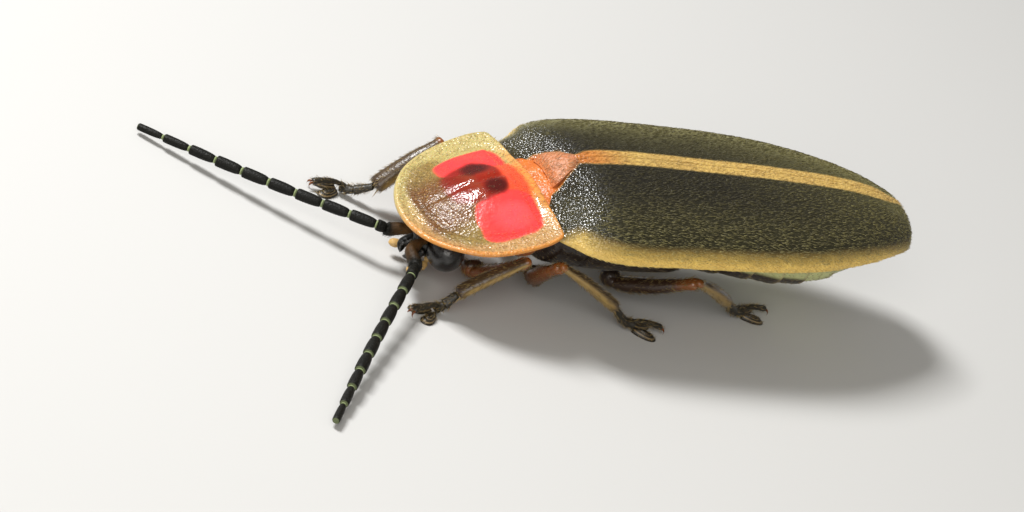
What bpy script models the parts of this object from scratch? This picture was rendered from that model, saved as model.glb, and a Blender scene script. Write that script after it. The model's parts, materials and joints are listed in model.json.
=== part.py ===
"""A firefly beetle, life size, standing with its antennae spread.

All sizes below are millimetres in the beetle's own frame: x runs from the head
(negative) to the tail, y to the beetle's right, z up from the floor, and x = 0 is
the rear edge of the pronotum. The last step moves the whole insect so that the
origin is on the floor under the middle of its box.
"""
import math

import bmesh
import bpy
from mathutils import Matrix, Vector

MM = 0.001

# gaps and walls
GAP = 0.25                 # clear space between one piece and the next
ROOF_GAP = 0.3             # under the pronotum, measured straight down
PLATE_GAP = 0.3            # between the scutellum and the wing cases
SHELL = 0.5                # wall of the wing cases
SHIELD_WALL = 0.38         # wall of the pronotum at its rear edge
SHIELD_FRONT_WALL = 0.2    # and at its front edge

# wing cases: x, half width, height of the side edge, height of the crest
CASE_STATIONS = (
    (0.42, 2.05, 2.20, 2.95),
    (0.75, 2.33, 2.20, 3.24),
    (1.50, 2.48, 2.22, 3.43),
    (3.20, 2.54, 2.31, 3.48),
    (5.40, 2.52, 2.33, 3.45),
    (7.00, 2.37, 2.33, 3.40),
    (8.30, 1.98, 2.33, 3.33),
    (9.30, 1.47, 2.33, 3.18),
    (10.10, 0.93, 2.33, 2.93),
    (10.60, 0.50, 2.33, 2.68),
    (10.80, 0.20, 2.32, 2.48),
)
CASE_FRONT = CASE_STATIONS[0][0]
CASE_TAIL = CASE_STATIONS[-1][0]
CASE_ROWS = (0.0, 0.016, 0.035, 0.06, 0.1, 0.17, 0.26, 0.36, 0.47, 0.58, 0.68,
             0.77, 0.84, 0.895, 0.94, 0.97, 0.989, 1.0)   # sections, as shares of the length
HOLLOW_ROWS = 13           # the sections that the hollow shares with the outside
CASE_EDGE = 0.2            # depth of the side edge under the arch
CASE_END = 1.35            # length of the tail end that is not hollow
OVERCUT = 0.3              # how far a cutter passes the face that it opens
ARCH_POWER = 2.25          # 2 is an ellipse, more is squarer
SUTURE = 0.12              # half of the gap between the two wing cases
CASE_INNER = 0.55          # most of the half width that the gap in front may take

# scutellum between the wing cases
SCUTELLUM_FRONT = 0.34
SCUTELLUM_APEX = 1.05
SCUTELLUM_HALF = 0.62
SCUTELLUM_POINT = 0.08     # half width left at its point
SCUTELLUM_CURVE = 0.8      # under 1 the sides bow outwards
SCUTELLUM_SINK = 0.05      # how far it lies below the crest of the wing cases
SCUTELLUM_ROUND = 0.06     # fall from its middle to its side

# pronotum: a shield that tips down in front and is turned a little to the left
SHIELD_LENGTH = 3.08
SHIELD_HALF = 2.02
SHIELD_WIDEST = 0.5        # distance of the widest place from the rear edge
SHIELD_WAIST = 0.075       # share of the half width lost at the rear edge
SHIELD_CORNER = 0.22
SHIELD_POWER = 2.4         # roundness of the front outline
SHIELD_ROWS = (0.0, 0.04, 0.12, 0.24, 0.5, 0.8, 1.15, 1.5, 1.85, 2.15, 2.4, 2.62, 2.8,
               2.94, 3.02, 3.066)
SHIELD_COLUMNS = 13
SHIELD_REAR_Z = 2.60
SHIELD_PITCH = math.radians(23.0)
SHIELD_YAW = math.radians(4.0)
SHIELD_DOME = 0.36
DOME_CENTRE = 1.15         # from the rear edge
DOME_REACH = 1.75
DOME_HALF = 1.4

# trunk under the wing cases
TRUNK_LEDGE = 1.82         # just under the side edge of the wing cases
TRUNK_TOP = 2.35           # top of the trunk under the scutellum
LEDGE_STEP = 0.12          # height of the upright side above the ledge
KEEL_Z = 0.95              # lowest line of the thorax
THORAX_FRONT = 0.46
THORAX_REAR = 3.95
THORAX_HALF = 1.45
THORAX_RISE = 0.12         # how much higher the keel is at the thorax's two ends
THORAX_POWER = 1.4         # roundness of the thorax below the ledge
ABDOMEN_FRONT = THORAX_REAR + GAP
LANTERN_FRONT = 7.05
LANTERN_REAR = 8.95
ABDOMEN_REAR = 10.15
# x, half width of the belly, height of its underside
BELLY_STATIONS = (
    (ABDOMEN_FRONT, 1.35, 1.12),
    (5.20, 1.66, 1.26),
    (6.50, 1.95, 1.28),
    (7.60, 1.92, 1.34),
    (8.60, 1.65, 1.42),
    (9.50, 1.10, 1.52),
    (ABDOMEN_REAR, 0.55, 1.62),
)
BELLY_POWER = 1.8
SEGMENT_STEP = 0.05        # how far the rear of one belly segment stands over the next
SEGMENT_EDGE = 0.03        # width of the slope between two belly segments
TAIL_RISE = 0.06           # height of the last segment above the ledge
BACK_HALF = 0.3            # least half width of the back over the belly

# prothorax under the pronotum
PROTHORAX_FRONT = -1.08
PROTHORAX_REAR = 0.12
PROTHORAX_FRONT_HALF = 0.72
PROTHORAX_REAR_HALF = 1.27
PROTHORAX_LIFT = 0.2       # how much higher its underside is in front
PROTHORAX_SIDE = 0.35      # height of its upright sides
PROTHORAX_ROUND = 0.1      # fall of its roof towards the sides
PROTHORAX_CURVE = 0.7      # under 1 it widens fastest in front
ROOF_REAR = -0.02          # the last place where the pronotum is over it

# head; the places of jaws and palps are from its centre, for the right side
HEAD_CENTRE = (-1.72, -0.10, 0.92)
HEAD_HALF = (0.42, 0.42, 0.46)
SKULL_END = 0.97           # 1 would bring its two ends to a point
SKULL_POWER = 0.7          # under 1 the skull is boxier than a ball
JAW_PLACES = ((-0.30, 0.22, -0.18), (-0.55, 0.24, -0.40), (-0.66, 0.06, -0.55))
JAW_RADII = (0.15, 0.15, 0.14, 0.11, 0.06)
PALP_PLACES = ((-0.10, 0.24, -0.32), (-0.34, 0.44, -0.56), (-0.72, 0.52, -0.62))
PALP_RADII = (0.10, 0.11, 0.12, 0.14, 0.15, 0.07)
EYE_RADIUS = 0.37
EYE_OFFSET = 0.70
EYE_CLEAR = 0.2
EYE_SHIFT = (0.05, 0.02)   # the eyes sit a little behind and above the head's centre
EYE_END = 0.25             # half angle of the small flat at the eye's outer end

# antennae: radius of the root, the fattest segment and the tip
FEELER_ROOT = 0.2
FEELER_BODY = 0.25
FEELER_TIP = 0.12
FEELER_TIP_Z = 0.16
FLAGELLUM_SEGMENTS = 9
SEGMENT_SHAPE = ((0.12, 0.86), (0.55, 1.0), (0.96, 0.97))   # place along it, thickness
TAPER_START = 0.62
TAPER_POWER = 1.2
# places of the first two segments, direction, length and side bow of the other nine
ANTENNAE = {
    "left": (((-2.53, -0.58, 0.83), (-2.55, -0.81, 0.80), (-2.61, -1.04, 0.78),
              (-2.75, -1.26, 0.78), (-2.95, -1.50, 0.79)), (-3.91, -4.83), 6.08, -0.04),
    "right": (((-2.59, 0.05, 0.83), (-2.69, 0.06, 0.80), (-2.80, 0.10, 0.77),
               (-2.92, 0.14, 0.78), (-3.08, 0.20, 0.79)), (-4.05, 3.86), 5.80, 0.10),
}

# legs
COXA_RADIUS = 0.27
FEMUR_RADIUS = 0.27
FEMUR_FLAT = 0.92          # height of the thigh as a share of its width
FEMUR_SHAPE = (0.95, 1.0, 0.84, 0.92, 1.0, 1.02, 0.96, 0.84, 0.62)
COXA_SECTIONS = 3
TIBIA_RADIUS = 0.25
TIBIA_SHAPE = (0.76, 0.9, 1.0, 1.0, 1.0, 0.96)
TIBIA_BOW = 0.03
ANKLE_CLEAR = 0.30         # from the end of the shin to the start of the foot
TARSUS_WIDTH = 0.5
TARSUS_WAIST = 0.84        # width at the joints, as a share of the full width
TARSUS_HEIGHT = 0.46
TARSUS_FALL = 0.015        # loss of height from one section to the next
SHANK_SOLE = 0.04          # the first foot segments are held just off the floor
FOOT_SECTION = ((-0.38, 0.0), (-0.5, 0.3), (-0.42, 0.74), (-0.16, 1.0),
                (0.16, 1.0), (0.42, 0.74), (0.5, 0.3), (0.38, 0.0))   # across, up
LOBE_SHAPE = ((0.0, 0.30), (0.25, 0.36), (0.5, 0.38), (0.68, 0.34), (0.8, 0.2))
LOBE_HEIGHT = 0.34
LOBE_FALL = 0.14
LOBE_TURN = 0.3            # how much each lobe turns outwards
PAD_SPREAD = 0.2           # how far each lobe of the pad stands from the middle
PAD_JOIN = 0.35
CLAW_PLACES = ((8, 0.0, 0.30), (10, 0.04, 0.34), (12, 0.13, 0.12))   # section, aside, z
CLAW_RADII = (0.10, 0.12, 0.12, 0.08, 0.045)
# each leg: places of coxa and thigh up to the knee, room from the knee to the shin,
# end of the shin, middle and tip of the foot
LEGS = {
    "front_left": (((-0.74, -0.42, 0.64), (-0.72, -0.62, 0.44), (-0.56, -1.14, 0.84),
                    (-0.38, -1.74, 1.60)), 0.70,
                   (-1.70, -1.70, 0.60), (-2.20, -1.76), (-3.05, -2.02)),
    "front_right": (((-0.74, 0.32, 0.66), (-0.74, 0.52, 0.48), (-0.72, 1.35, 0.80),
                     (-0.84, 2.34, 1.66)), 0.56,
                    (-2.10, 2.16, 0.60), (-2.75, 2.62), (-3.60, 2.68)),
    "middle_left": (((0.90, -0.45, 0.66), (0.88, -0.65, 0.46), (0.50, -1.17, 0.88),
                     (0.53, -1.80, 1.60)), 0.50,
                    (2.46, -1.68, 0.60), (3.25, -1.70), (4.15, -1.79)),
    "middle_right": (((0.90, 0.45, 0.66), (0.88, 0.65, 0.48), (0.60, 1.25, 0.90),
                      (0.66, 1.98, 1.58)), 0.46,
                     (2.36, 2.22, 0.60), (3.10, 2.32), (4.05, 2.40)),
    "hind_left": (((3.00, -0.40, 0.70), (3.05, -0.58, 0.50), (3.60, -1.14, 0.86),
                   (4.28, -1.80, 1.50)), 0.42,
                  (5.85, -1.10, 0.60), (6.70, -0.78), (7.60, -0.62)),
    "hind_right": (((3.00, 0.40, 0.70), (3.05, 0.58, 0.50), (3.60, 1.16, 0.88),
                    (4.24, 1.88, 1.52)), 0.40,
                   (6.16, 2.05, 0.60), (7.00, 2.16), (7.95, 2.22)),
}

# colour and roughness of each finish
MATERIALS = {
    "dark_shell": ((0.018, 0.013, 0.009, 1.0), 0.45),
    "pale_shield": ((0.62, 0.42, 0.20, 1.0), 0.30),
    "orange_plate": ((0.55, 0.16, 0.05, 1.0), 0.35),
    "brown_leg": ((0.16, 0.07, 0.025, 1.0), 0.40),
    "dark_foot": ((0.03, 0.018, 0.012, 1.0), 0.55),
    "black_feeler": ((0.012, 0.010, 0.009, 1.0), 0.50),
    "black_eye": ((0.004, 0.004, 0.005, 1.0), 0.10),
    "dark_belly": ((0.03, 0.018, 0.012, 1.0), 0.45),
    "lantern": ((0.62, 0.66, 0.40, 1.0), 0.55),
}
SHARP_ANGLE = math.radians(40.0)


def make_material(name):
    colour, roughness = MATERIALS[name]
    material = bpy.data.materials.new(name)
    material.use_nodes = True
    shader = material.node_tree.nodes["Principled BSDF"]
    shader.inputs["Base Color"].default_value = colour
    shader.inputs["Roughness"].default_value = roughness
    shader.inputs["Metallic"].default_value = 0.0
    return material


def add_object(name, mesh, material):
    """Link a finished mesh as one named piece with its own finish."""
    piece = bpy.data.objects.new(name, mesh)
    bpy.context.scene.collection.objects.link(piece)
    mesh.materials.append(material)
    mesh.shade_smooth()
    mesh.set_sharp_from_angle(angle=SHARP_ANGLE)
    return piece


def loft_mesh(name, rings):
    """Join equal rings of points, given in millimetres, and close both ends."""
    shape = bmesh.new()
    loops = [[shape.verts.new(Vector(point) * MM) for point in ring] for ring in rings]
    count = len(rings[0])
    for first, second in zip(loops, loops[1:]):
        for index in range(count):
            after = (index + 1) % count
            shape.faces.new((first[index], first[after], second[after], second[index]))
    shape.faces.new(list(reversed(loops[0])))
    shape.faces.new(loops[-1])
    bmesh.ops.triangulate(shape, faces=shape.faces)
    bmesh.ops.recalc_face_normals(shape, faces=shape.faces)
    mesh = bpy.data.meshes.new(name)
    shape.to_mesh(mesh)
    shape.free()
    return mesh


def loft(name, rings, material):
    return add_object(name, loft_mesh(name, rings), material)


def keep_largest(mesh):
    """Drop all but the largest closed surface of a mesh."""
    shape = bmesh.new()
    shape.from_mesh(mesh)
    groups = []
    seen = set()
    for start in shape.faces:
        if start in seen:
            continue
        group = []
        stack = [start]
        seen.add(start)
        while stack:
            face = stack.pop()
            group.append(face)
            for edge in face.edges:
                for neighbour in edge.link_faces:
                    if neighbour not in seen:
                        seen.add(neighbour)
                        stack.append(neighbour)
        groups.append(group)
    groups.sort(key=lambda group: sum(face.calc_area() for face in group))
    loose = [face for group in groups[:-1] for face in group]
    bmesh.ops.delete(shape, geom=loose, context="FACES")
    shape.to_mesh(mesh)
    shape.free()


def fuse(name, meshes, material, solver="EXACT"):
    """Unite closed meshes into one piece with one Boolean on a collection."""
    base = bpy.data.objects.new(name, meshes[0])
    bpy.context.scene.collection.objects.link(base)
    group = bpy.data.collections.new(name + "_parts")
    extras = []
    for mesh in meshes[1:]:
        extra = bpy.data.objects.new(name + "_part", mesh)
        group.objects.link(extra)
        extras.append(extra)
    union = base.modifiers.new("union", "BOOLEAN")
    union.operation = "UNION"
    union.operand_type = "COLLECTION"
    union.collection = group
    union.solver = solver
    graph = bpy.context.evaluated_depsgraph_get()
    mesh = bpy.data.meshes.new_from_object(base.evaluated_get(graph))
    bpy.data.objects.remove(base)
    for extra in extras:
        bpy.data.objects.remove(extra)
    bpy.data.collections.remove(group)
    keep_largest(mesh)
    mesh.materials.clear()
    return add_object(name, mesh, material)


def cut(piece, cutter_mesh):
    """Take a closed mesh away from a piece and keep the result as its mesh."""
    cutter = bpy.data.objects.new("cutter", cutter_mesh)
    bpy.context.scene.collection.objects.link(cutter)
    cutter.hide_render = True
    cutter.display_type = "WIRE"
    modifier = piece.modifiers.new("cut", "BOOLEAN")
    modifier.operation = "DIFFERENCE"
    modifier.object = cutter
    modifier.solver = "EXACT"
    graph = bpy.context.evaluated_depsgraph_get()
    mesh = bpy.data.meshes.new_from_object(piece.evaluated_get(graph))
    piece.modifiers.clear()
    piece.data = mesh
    bpy.data.objects.remove(cutter)
    keep_largest(mesh)


def blend_stations(stations, x):
    """Read a smooth row of values between stations, by a cubic with clamped slopes."""
    if x <= stations[0][0]:
        return stations[0][1:]
    if x >= stations[-1][0]:
        return stations[-1][1:]
    index = max(i for i in range(len(stations) - 1) if stations[i][0] <= x)

    def slope(i, column):
        low = max(i - 1, 0)
        high = min(i + 1, len(stations) - 1)
        left = stations[i][column] - stations[low][column]
        right = stations[high][column] - stations[i][column]
        if 0 < i < len(stations) - 1 and left * right <= 0.0:
            return 0.0
        rise = stations[high][column] - stations[low][column]
        return rise / (stations[high][0] - stations[low][0])

    step = stations[index + 1][0] - stations[index][0]
    t = (x - stations[index][0]) / step
    first_pull = step * (t ** 3 - 2.0 * t ** 2 + t)
    second_pull = step * (t ** 3 - t ** 2)
    share = 3.0 * t ** 2 - 2.0 * t ** 3
    values = []
    for column in range(1, len(stations[0])):
        first = stations[index][column]
        second = stations[index + 1][column]
        values.append(first + (second - first) * share + first_pull * slope(index, column)
                      + second_pull * slope(index + 1, column))
    return tuple(values)


def spread(low, high, count):
    return [low + (high - low) * i / (count - 1) for i in range(count)]


def arch(y, half, edge_z, crest_z):
    """Height of the wing cases' arch at a distance y from the middle."""
    reach = min(abs(y) / half, 1.0)
    return edge_z + (crest_z - edge_z) * (1.0 - reach ** ARCH_POWER) ** (1.0 / ARCH_POWER)


def arch_row(start, half, edge_z, crest_z, count):
    """Points (y, z) from the middle out to the side edge, closer at the edge."""
    row = []
    for turn in spread(0.0, 0.5 * math.pi, count):
        y = start + (half - start) * math.sin(turn)
        row.append((y, arch(y, half, edge_z, crest_z)))
    return row


def half_arch_ring(x, side, start, half, edge_z, crest_z, bottom_z, count=9):
    """One half of the arch, closed by its bottom, as a ring across the body."""
    row = arch_row(start, half, edge_z, crest_z, count)
    points = row + [(half, bottom_z), (start, bottom_z)]
    return [(x, side * y, z) for y, z in points]


def scutellum_edge(x):
    """Half width that the wing cases leave open for the scutellum at x."""
    reach = (SCUTELLUM_APEX - x) / (SCUTELLUM_APEX - CASE_FRONT)
    return SCUTELLUM_HALF * max(0.0, min(1.0, reach)) ** SCUTELLUM_CURVE


def make_wing_case(name, side, material):
    """One wing case: half of the arch, made a shell by a hollow that opens below."""
    places = [CASE_FRONT + (CASE_TAIL - CASE_FRONT) * share for share in CASE_ROWS]
    rings = []
    for x in places:
        half, edge_z, crest_z = blend_stations(CASE_STATIONS, x)
        start = min(SUTURE + scutellum_edge(x), half * CASE_INNER)
        rings.append(half_arch_ring(x, side, start, half, edge_z, crest_z, edge_z - CASE_EDGE))
    case = loft(name, rings, material)
    hollow = []
    for x in [CASE_FRONT - OVERCUT] + places[1:HOLLOW_ROWS] + [CASE_TAIL - CASE_END]:
        half, edge_z, crest_z = blend_stations(CASE_STATIONS, x)
        hollow.append(half_arch_ring(x, side, -2.0 * OVERCUT, half - SHELL,
                                     edge_z - 0.5 * CASE_EDGE, crest_z - SHELL,
                                     edge_z - 2.0 * CASE_EDGE, 7))
    cut(case, loft_mesh("hollow", hollow))
    return case


def make_scutellum(material):
    """The small plate between the fronts of the wing cases, down to the trunk."""
    bottom_z = TRUNK_TOP + GAP
    rings = []
    for x in spread(SCUTELLUM_FRONT, SCUTELLUM_APEX - PLATE_GAP, 5):
        inside = max(x, CASE_FRONT)
        half = max(SCUTELLUM_POINT, scutellum_edge(inside) + SUTURE - PLATE_GAP)
        top_z = blend_stations(CASE_STATIONS, inside)[2] - SCUTELLUM_SINK
        side_z = top_z - SCUTELLUM_ROUND
        rings.append([(x, -half, side_z), (x, -0.5 * half, top_z), (x, 0.5 * half, top_z),
                      (x, half, side_z), (x, half, bottom_z), (x, -half, bottom_z)])
    return loft("scutellum", rings, material)


def shield_half_width(u):
    """Half width of the pronotum at a distance u from its rear edge."""
    if u > SHIELD_WIDEST:
        reach = (u - SHIELD_WIDEST) / (SHIELD_LENGTH - SHIELD_WIDEST)
        return SHIELD_HALF * math.sqrt(max(0.0, 1.0 - reach ** SHIELD_POWER))
    half = SHIELD_HALF * (1.0 - SHIELD_WAIST * ((SHIELD_WIDEST - u) / SHIELD_WIDEST) ** 2)
    if u < SHIELD_CORNER:
        missing = SHIELD_CORNER - u
        half -= SHIELD_CORNER - math.sqrt(SHIELD_CORNER ** 2 - missing ** 2)
    return half


def shield_dome(u, v):
    """Rise of the pronotum's disc over the plane of its edge."""
    reach = ((u - DOME_CENTRE) / DOME_REACH) ** 2 + (v / DOME_HALF) ** 2
    return SHIELD_DOME * (1.0 - reach) ** 2 if reach < 1.0 else 0.0


def shield_wall(u):
    """Thickness of the pronotum, which thins out towards its front edge."""
    reach = max(0.0, min(1.0, u / SHIELD_LENGTH))
    return SHIELD_WALL + (SHIELD_FRONT_WALL - SHIELD_WALL) * reach


def shield_point(u, v, drop=0.0):
    """Place a point of the pronotum: u forward of its rear edge, v to the left."""
    forward = Vector((-math.cos(SHIELD_YAW), -math.sin(SHIELD_YAW), 0.0))
    left = Vector((math.sin(SHIELD_YAW), -math.cos(SHIELD_YAW), 0.0))
    point = forward * (u * math.cos(SHIELD_PITCH)) + left * v
    height = SHIELD_REAR_Z - u * math.sin(SHIELD_PITCH) + shield_dome(u, v) - drop
    return (point.x, point.y, height)


def make_pronotum(material):
    """The shield: a domed plate with the same sections above and below."""
    rings = []
    for u in SHIELD_ROWS:
        half = shield_half_width(u)
        turns = spread(-0.5 * math.pi, 0.5 * math.pi, SHIELD_COLUMNS)
        offsets = [half * math.sin(turn) for turn in turns]
        top = [shield_point(u, v) for v in offsets]
        under = [shield_point(u, v, shield_wall(u)) for v in reversed(offsets)]
        rings.append(top + under)
    return loft("pronotum", rings, material)


def shield_under(x, y):
    """Height of the pronotum's underside over a place on the floor."""
    u = -x / (math.cos(SHIELD_PITCH) * math.cos(SHIELD_YAW))
    v = -y - u * math.sin(SHIELD_YAW)
    return shield_point(u, v, shield_wall(u))[2]


def trunk_ring(x, top_half, crest_z, belly_half, belly_z, belly_power):
    """Section of the trunk: an arch over the ledge and a keel or belly under it."""
    foot_z = min(TRUNK_LEDGE + LEDGE_STEP, 0.5 * (TRUNK_LEDGE + crest_z))
    upper = arch_row(0.0, top_half, foot_z, crest_z, 6)
    lower = []
    for turn in spread(0.0, 0.5 * math.pi, 5):
        y = belly_half * math.cos(turn)
        depth = (1.0 - (y / belly_half) ** belly_power) ** (1.0 / belly_power)
        lower.append((y, TRUNK_LEDGE - (TRUNK_LEDGE - belly_z) * depth))
    right = upper + lower
    left = [(-y, z) for y, z in reversed(right[1:-1])]
    return [(x, y, z) for y, z in right + left]


def under_cases(x):
    """Half width and crest height that fit inside the wing cases at x."""
    half, _, crest_z = blend_stations(CASE_STATIONS, x)
    return half - SHELL - GAP, crest_z - SHELL - GAP


def make_thorax(material):
    """The middle and hind thorax, lower under the scutellum than behind it."""
    rings = []
    for x in spread(THORAX_FRONT, THORAX_REAR, 7):
        half, crest_z = under_cases(x)
        if x < SCUTELLUM_APEX + GAP:
            crest_z = min(crest_z, TRUNK_TOP)
        along = (x - THORAX_FRONT) / (THORAX_REAR - THORAX_FRONT)
        belly_z = KEEL_Z + THORAX_RISE * (2.0 * along - 1.0) ** 2
        rings.append(trunk_ring(x, min(half, THORAX_HALF), crest_z, THORAX_HALF, belly_z,
                                THORAX_POWER))
    return loft("thorax", rings, material)


def make_belly(name, front, rear, segments, material):
    """A run of belly segments, each a little wider at its rear edge."""
    rings = []
    length = (rear - front) / segments
    for segment in range(segments):
        start = front + segment * length
        front_edge = start + SEGMENT_EDGE
        rear_edge = start + length - SEGMENT_EDGE
        for x, step in ((front_edge, SEGMENT_STEP), (rear_edge, 0.0)):
            half, crest_z = under_cases(x)
            belly_half, belly_z = blend_stations(BELLY_STATIONS, x)
            top_half = max(BACK_HALF, min(half, belly_half - SEGMENT_STEP))
            crest = crest_z if x < LANTERN_REAR else TRUNK_LEDGE + TAIL_RISE
            rings.append(trunk_ring(x, top_half, crest, belly_half - step, belly_z + step,
                                    BELLY_POWER))
    return loft(name, rings, material)


def make_prothorax(material):
    """The underside of the first thorax ring, which carries the front legs."""
    rings = []
    for along in spread(0.0, 1.0, 6):
        x = PROTHORAX_FRONT + (PROTHORAX_REAR - PROTHORAX_FRONT) * along
        under_x = min(x, ROOF_REAR)
        widening = (PROTHORAX_REAR_HALF - PROTHORAX_FRONT_HALF) * along ** PROTHORAX_CURVE
        half = PROTHORAX_FRONT_HALF + widening
        centre = x * math.sin(SHIELD_YAW)
        belly_z = KEEL_Z + PROTHORAX_LIFT * (1.0 - along) ** 2
        ring = []
        for turn in spread(0.0, math.pi, 7):
            y = centre + half * math.cos(turn)
            roof = shield_under(under_x, y) - ROOF_GAP
            ring.append((x, y, roof - PROTHORAX_ROUND * math.cos(turn) ** 2))
        for turn in spread(math.pi, 2.0 * math.pi, 7)[1:-1]:
            y = centre + half * math.cos(turn)
            side_z = shield_under(under_x, y) - ROOF_GAP - PROTHORAX_SIDE
            ring.append((x, y, belly_z + (side_z - belly_z) * (1.0 + math.sin(turn))))
        rings.append(ring)
    return loft("prothorax", rings, material)


def round_ring(centre, direction, radius, sides, flat=1.0):
    """A ring of points round a path; flat squeezes it in height."""
    along = Vector(direction).normalized()
    across = along.cross(Vector((0.0, 0.0, 1.0)))
    if across.length < 0.2:
        across = along.cross(Vector((1.0, 0.0, 0.0)))
    across.normalize()
    upward = across.cross(along).normalized()
    ring = []
    for i in range(sides):
        turn = 2.0 * math.pi * i / sides
        offset = across * (radius * math.cos(turn)) + upward * (radius * flat * math.sin(turn))
        ring.append(tuple(Vector(centre) + offset))
    return ring


def smooth_path(points, count):
    """Points read evenly from a smooth curve through the given places."""
    places = [Vector(point) for point in points]
    ends = [2.0 * places[0] - places[1]] + places + [2.0 * places[-1] - places[-2]]
    samples = []
    for i in range(count):
        t = i / (count - 1) * (len(places) - 1)
        index = min(int(t), len(places) - 2)
        t -= index
        a, b, c, d = ends[index:index + 4]
        samples.append(0.5 * (2.0 * b + (c - a) * t + (2.0 * a - 5.0 * b + 4.0 * c - d) * t ** 2
                              + (3.0 * b - a - 3.0 * c + d) * t ** 3))
    return samples


def tube_rings(path, radii, sides=8, flat=1.0):
    rings = []
    for i, centre in enumerate(path):
        before = path[max(i - 1, 0)]
        after = path[min(i + 1, len(path) - 1)]
        rings.append(round_ring(centre, after - before, radii[i], sides, flat))
    return rings


def mouth_part(name, places, radii, side):
    """A jaw or a palp on one side of the head."""
    cx, cy, cz = HEAD_CENTRE
    path = smooth_path([(cx + x, cy + side * y, cz + z) for x, y, z in places], len(radii))
    return loft_mesh(name, tube_rings(path, radii, 6))


def make_head(material):
    """The small head: a rounded box with jaws and palps below its front."""
    cx, cy, cz = HEAD_CENTRE
    hx, hy, hz = HEAD_HALF
    turns = [2.0 * math.pi * i / 16 for i in range(16)]
    rings = []
    for t in spread(-1.0, 1.0, 9):
        swell = math.sqrt(1.0 - (SKULL_END * t) ** 2) ** SKULL_POWER
        rings.append([(cx + hx * t, cy + hy * swell * math.cos(turn),
                       cz + hz * swell * math.sin(turn)) for turn in turns])
    meshes = [loft_mesh("skull", rings)]
    for side in (-1.0, 1.0):
        meshes.append(mouth_part("jaw", JAW_PLACES, JAW_RADII, side))
        meshes.append(mouth_part("palp", PALP_PLACES, PALP_RADII, side))
    return fuse("head", meshes, material)


def make_eye(name, side, material):
    """A bulging eye: the outer part of a ball, flat where it faces the head."""
    cx, cy, cz = HEAD_CENTRE
    inside = HEAD_HALF[1] + EYE_CLEAR - EYE_OFFSET
    turns = [2.0 * math.pi * i / 14 for i in range(14)]
    rings = []
    for tilt in spread(math.acos(inside / EYE_RADIUS), EYE_END, 6):
        radius = EYE_RADIUS * math.sin(tilt)
        y = cy + side * (EYE_OFFSET + EYE_RADIUS * math.cos(tilt))
        rings.append([(cx + EYE_SHIFT[0] + radius * math.cos(turn), y,
                       cz + EYE_SHIFT[1] + radius * math.sin(turn)) for turn in turns])
    return loft(name, rings, material)


def make_antenna(name, scape, heading, length, bow, material):
    """Scape and pedicel along given places, then an almost straight row of segments."""
    start = Vector(scape[-1])
    level = Vector((heading[0], heading[1], 0.0)).normalized()
    aside = Vector((-level.y, level.x, 0.0))
    fall = start.z - FEELER_TIP_Z
    reach = math.sqrt(length ** 2 - fall ** 2)
    path = smooth_path(scape, len(scape))
    radii = [FEELER_ROOT, FEELER_BODY, FEELER_BODY, FEELER_ROOT, FEELER_ROOT]
    for segment in range(FLAGELLUM_SEGMENTS):
        for part, swell in SEGMENT_SHAPE:
            t = (segment + part) / FLAGELLUM_SEGMENTS
            place = start + level * (reach * t) + aside * (bow * math.sin(math.pi * t))
            place.z = start.z - fall * t
            taper = max(0.0, (t - TAPER_START) / (1.0 - TAPER_START)) ** TAPER_POWER
            path.append(place)
            radii.append((FEELER_BODY + (FEELER_TIP - FEELER_BODY) * taper) * swell)
    return loft(name, tube_rings(path, radii, 9), material)


def make_femur(name, places, material):
    """Coxa, trochanter and femur as one bent, swollen piece that ends at the knee."""
    path = smooth_path(places, len(FEMUR_SHAPE))
    radii = [(COXA_RADIUS if i < COXA_SECTIONS else FEMUR_RADIUS) * factor
             for i, factor in enumerate(FEMUR_SHAPE)]
    return loft(name, tube_rings(path, radii, flat=FEMUR_FLAT), material)


def make_tibia(name, knee, room, ankle, material):
    """A slender shin that widens a little towards its far end."""
    start = Vector(knee) + (Vector(ankle) - Vector(knee)).normalized() * room
    end = Vector(ankle)
    middle = (start + end) * 0.5 + Vector((0.0, 0.0, TIBIA_BOW))
    path = smooth_path([start, middle, end], len(TIBIA_SHAPE))
    radii = [TIBIA_RADIUS * factor for factor in TIBIA_SHAPE]
    return loft(name, tube_rings(path, radii), material)


def foot_ring(centre, direction, width, sole_z, top_z):
    """A section of the foot: flat underneath, rounded above."""
    along = Vector((direction[0], direction[1], 0.0)).normalized()
    across = Vector((-along.y, along.x, 0.0))
    base = Vector((centre[0], centre[1], 0.0))
    ring = []
    for reach, rise in FOOT_SECTION:
        height = sole_z + (top_z - sole_z) * rise
        ring.append(tuple(base + across * (reach * width) + Vector((0.0, 0.0, height))))
    return ring


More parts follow.
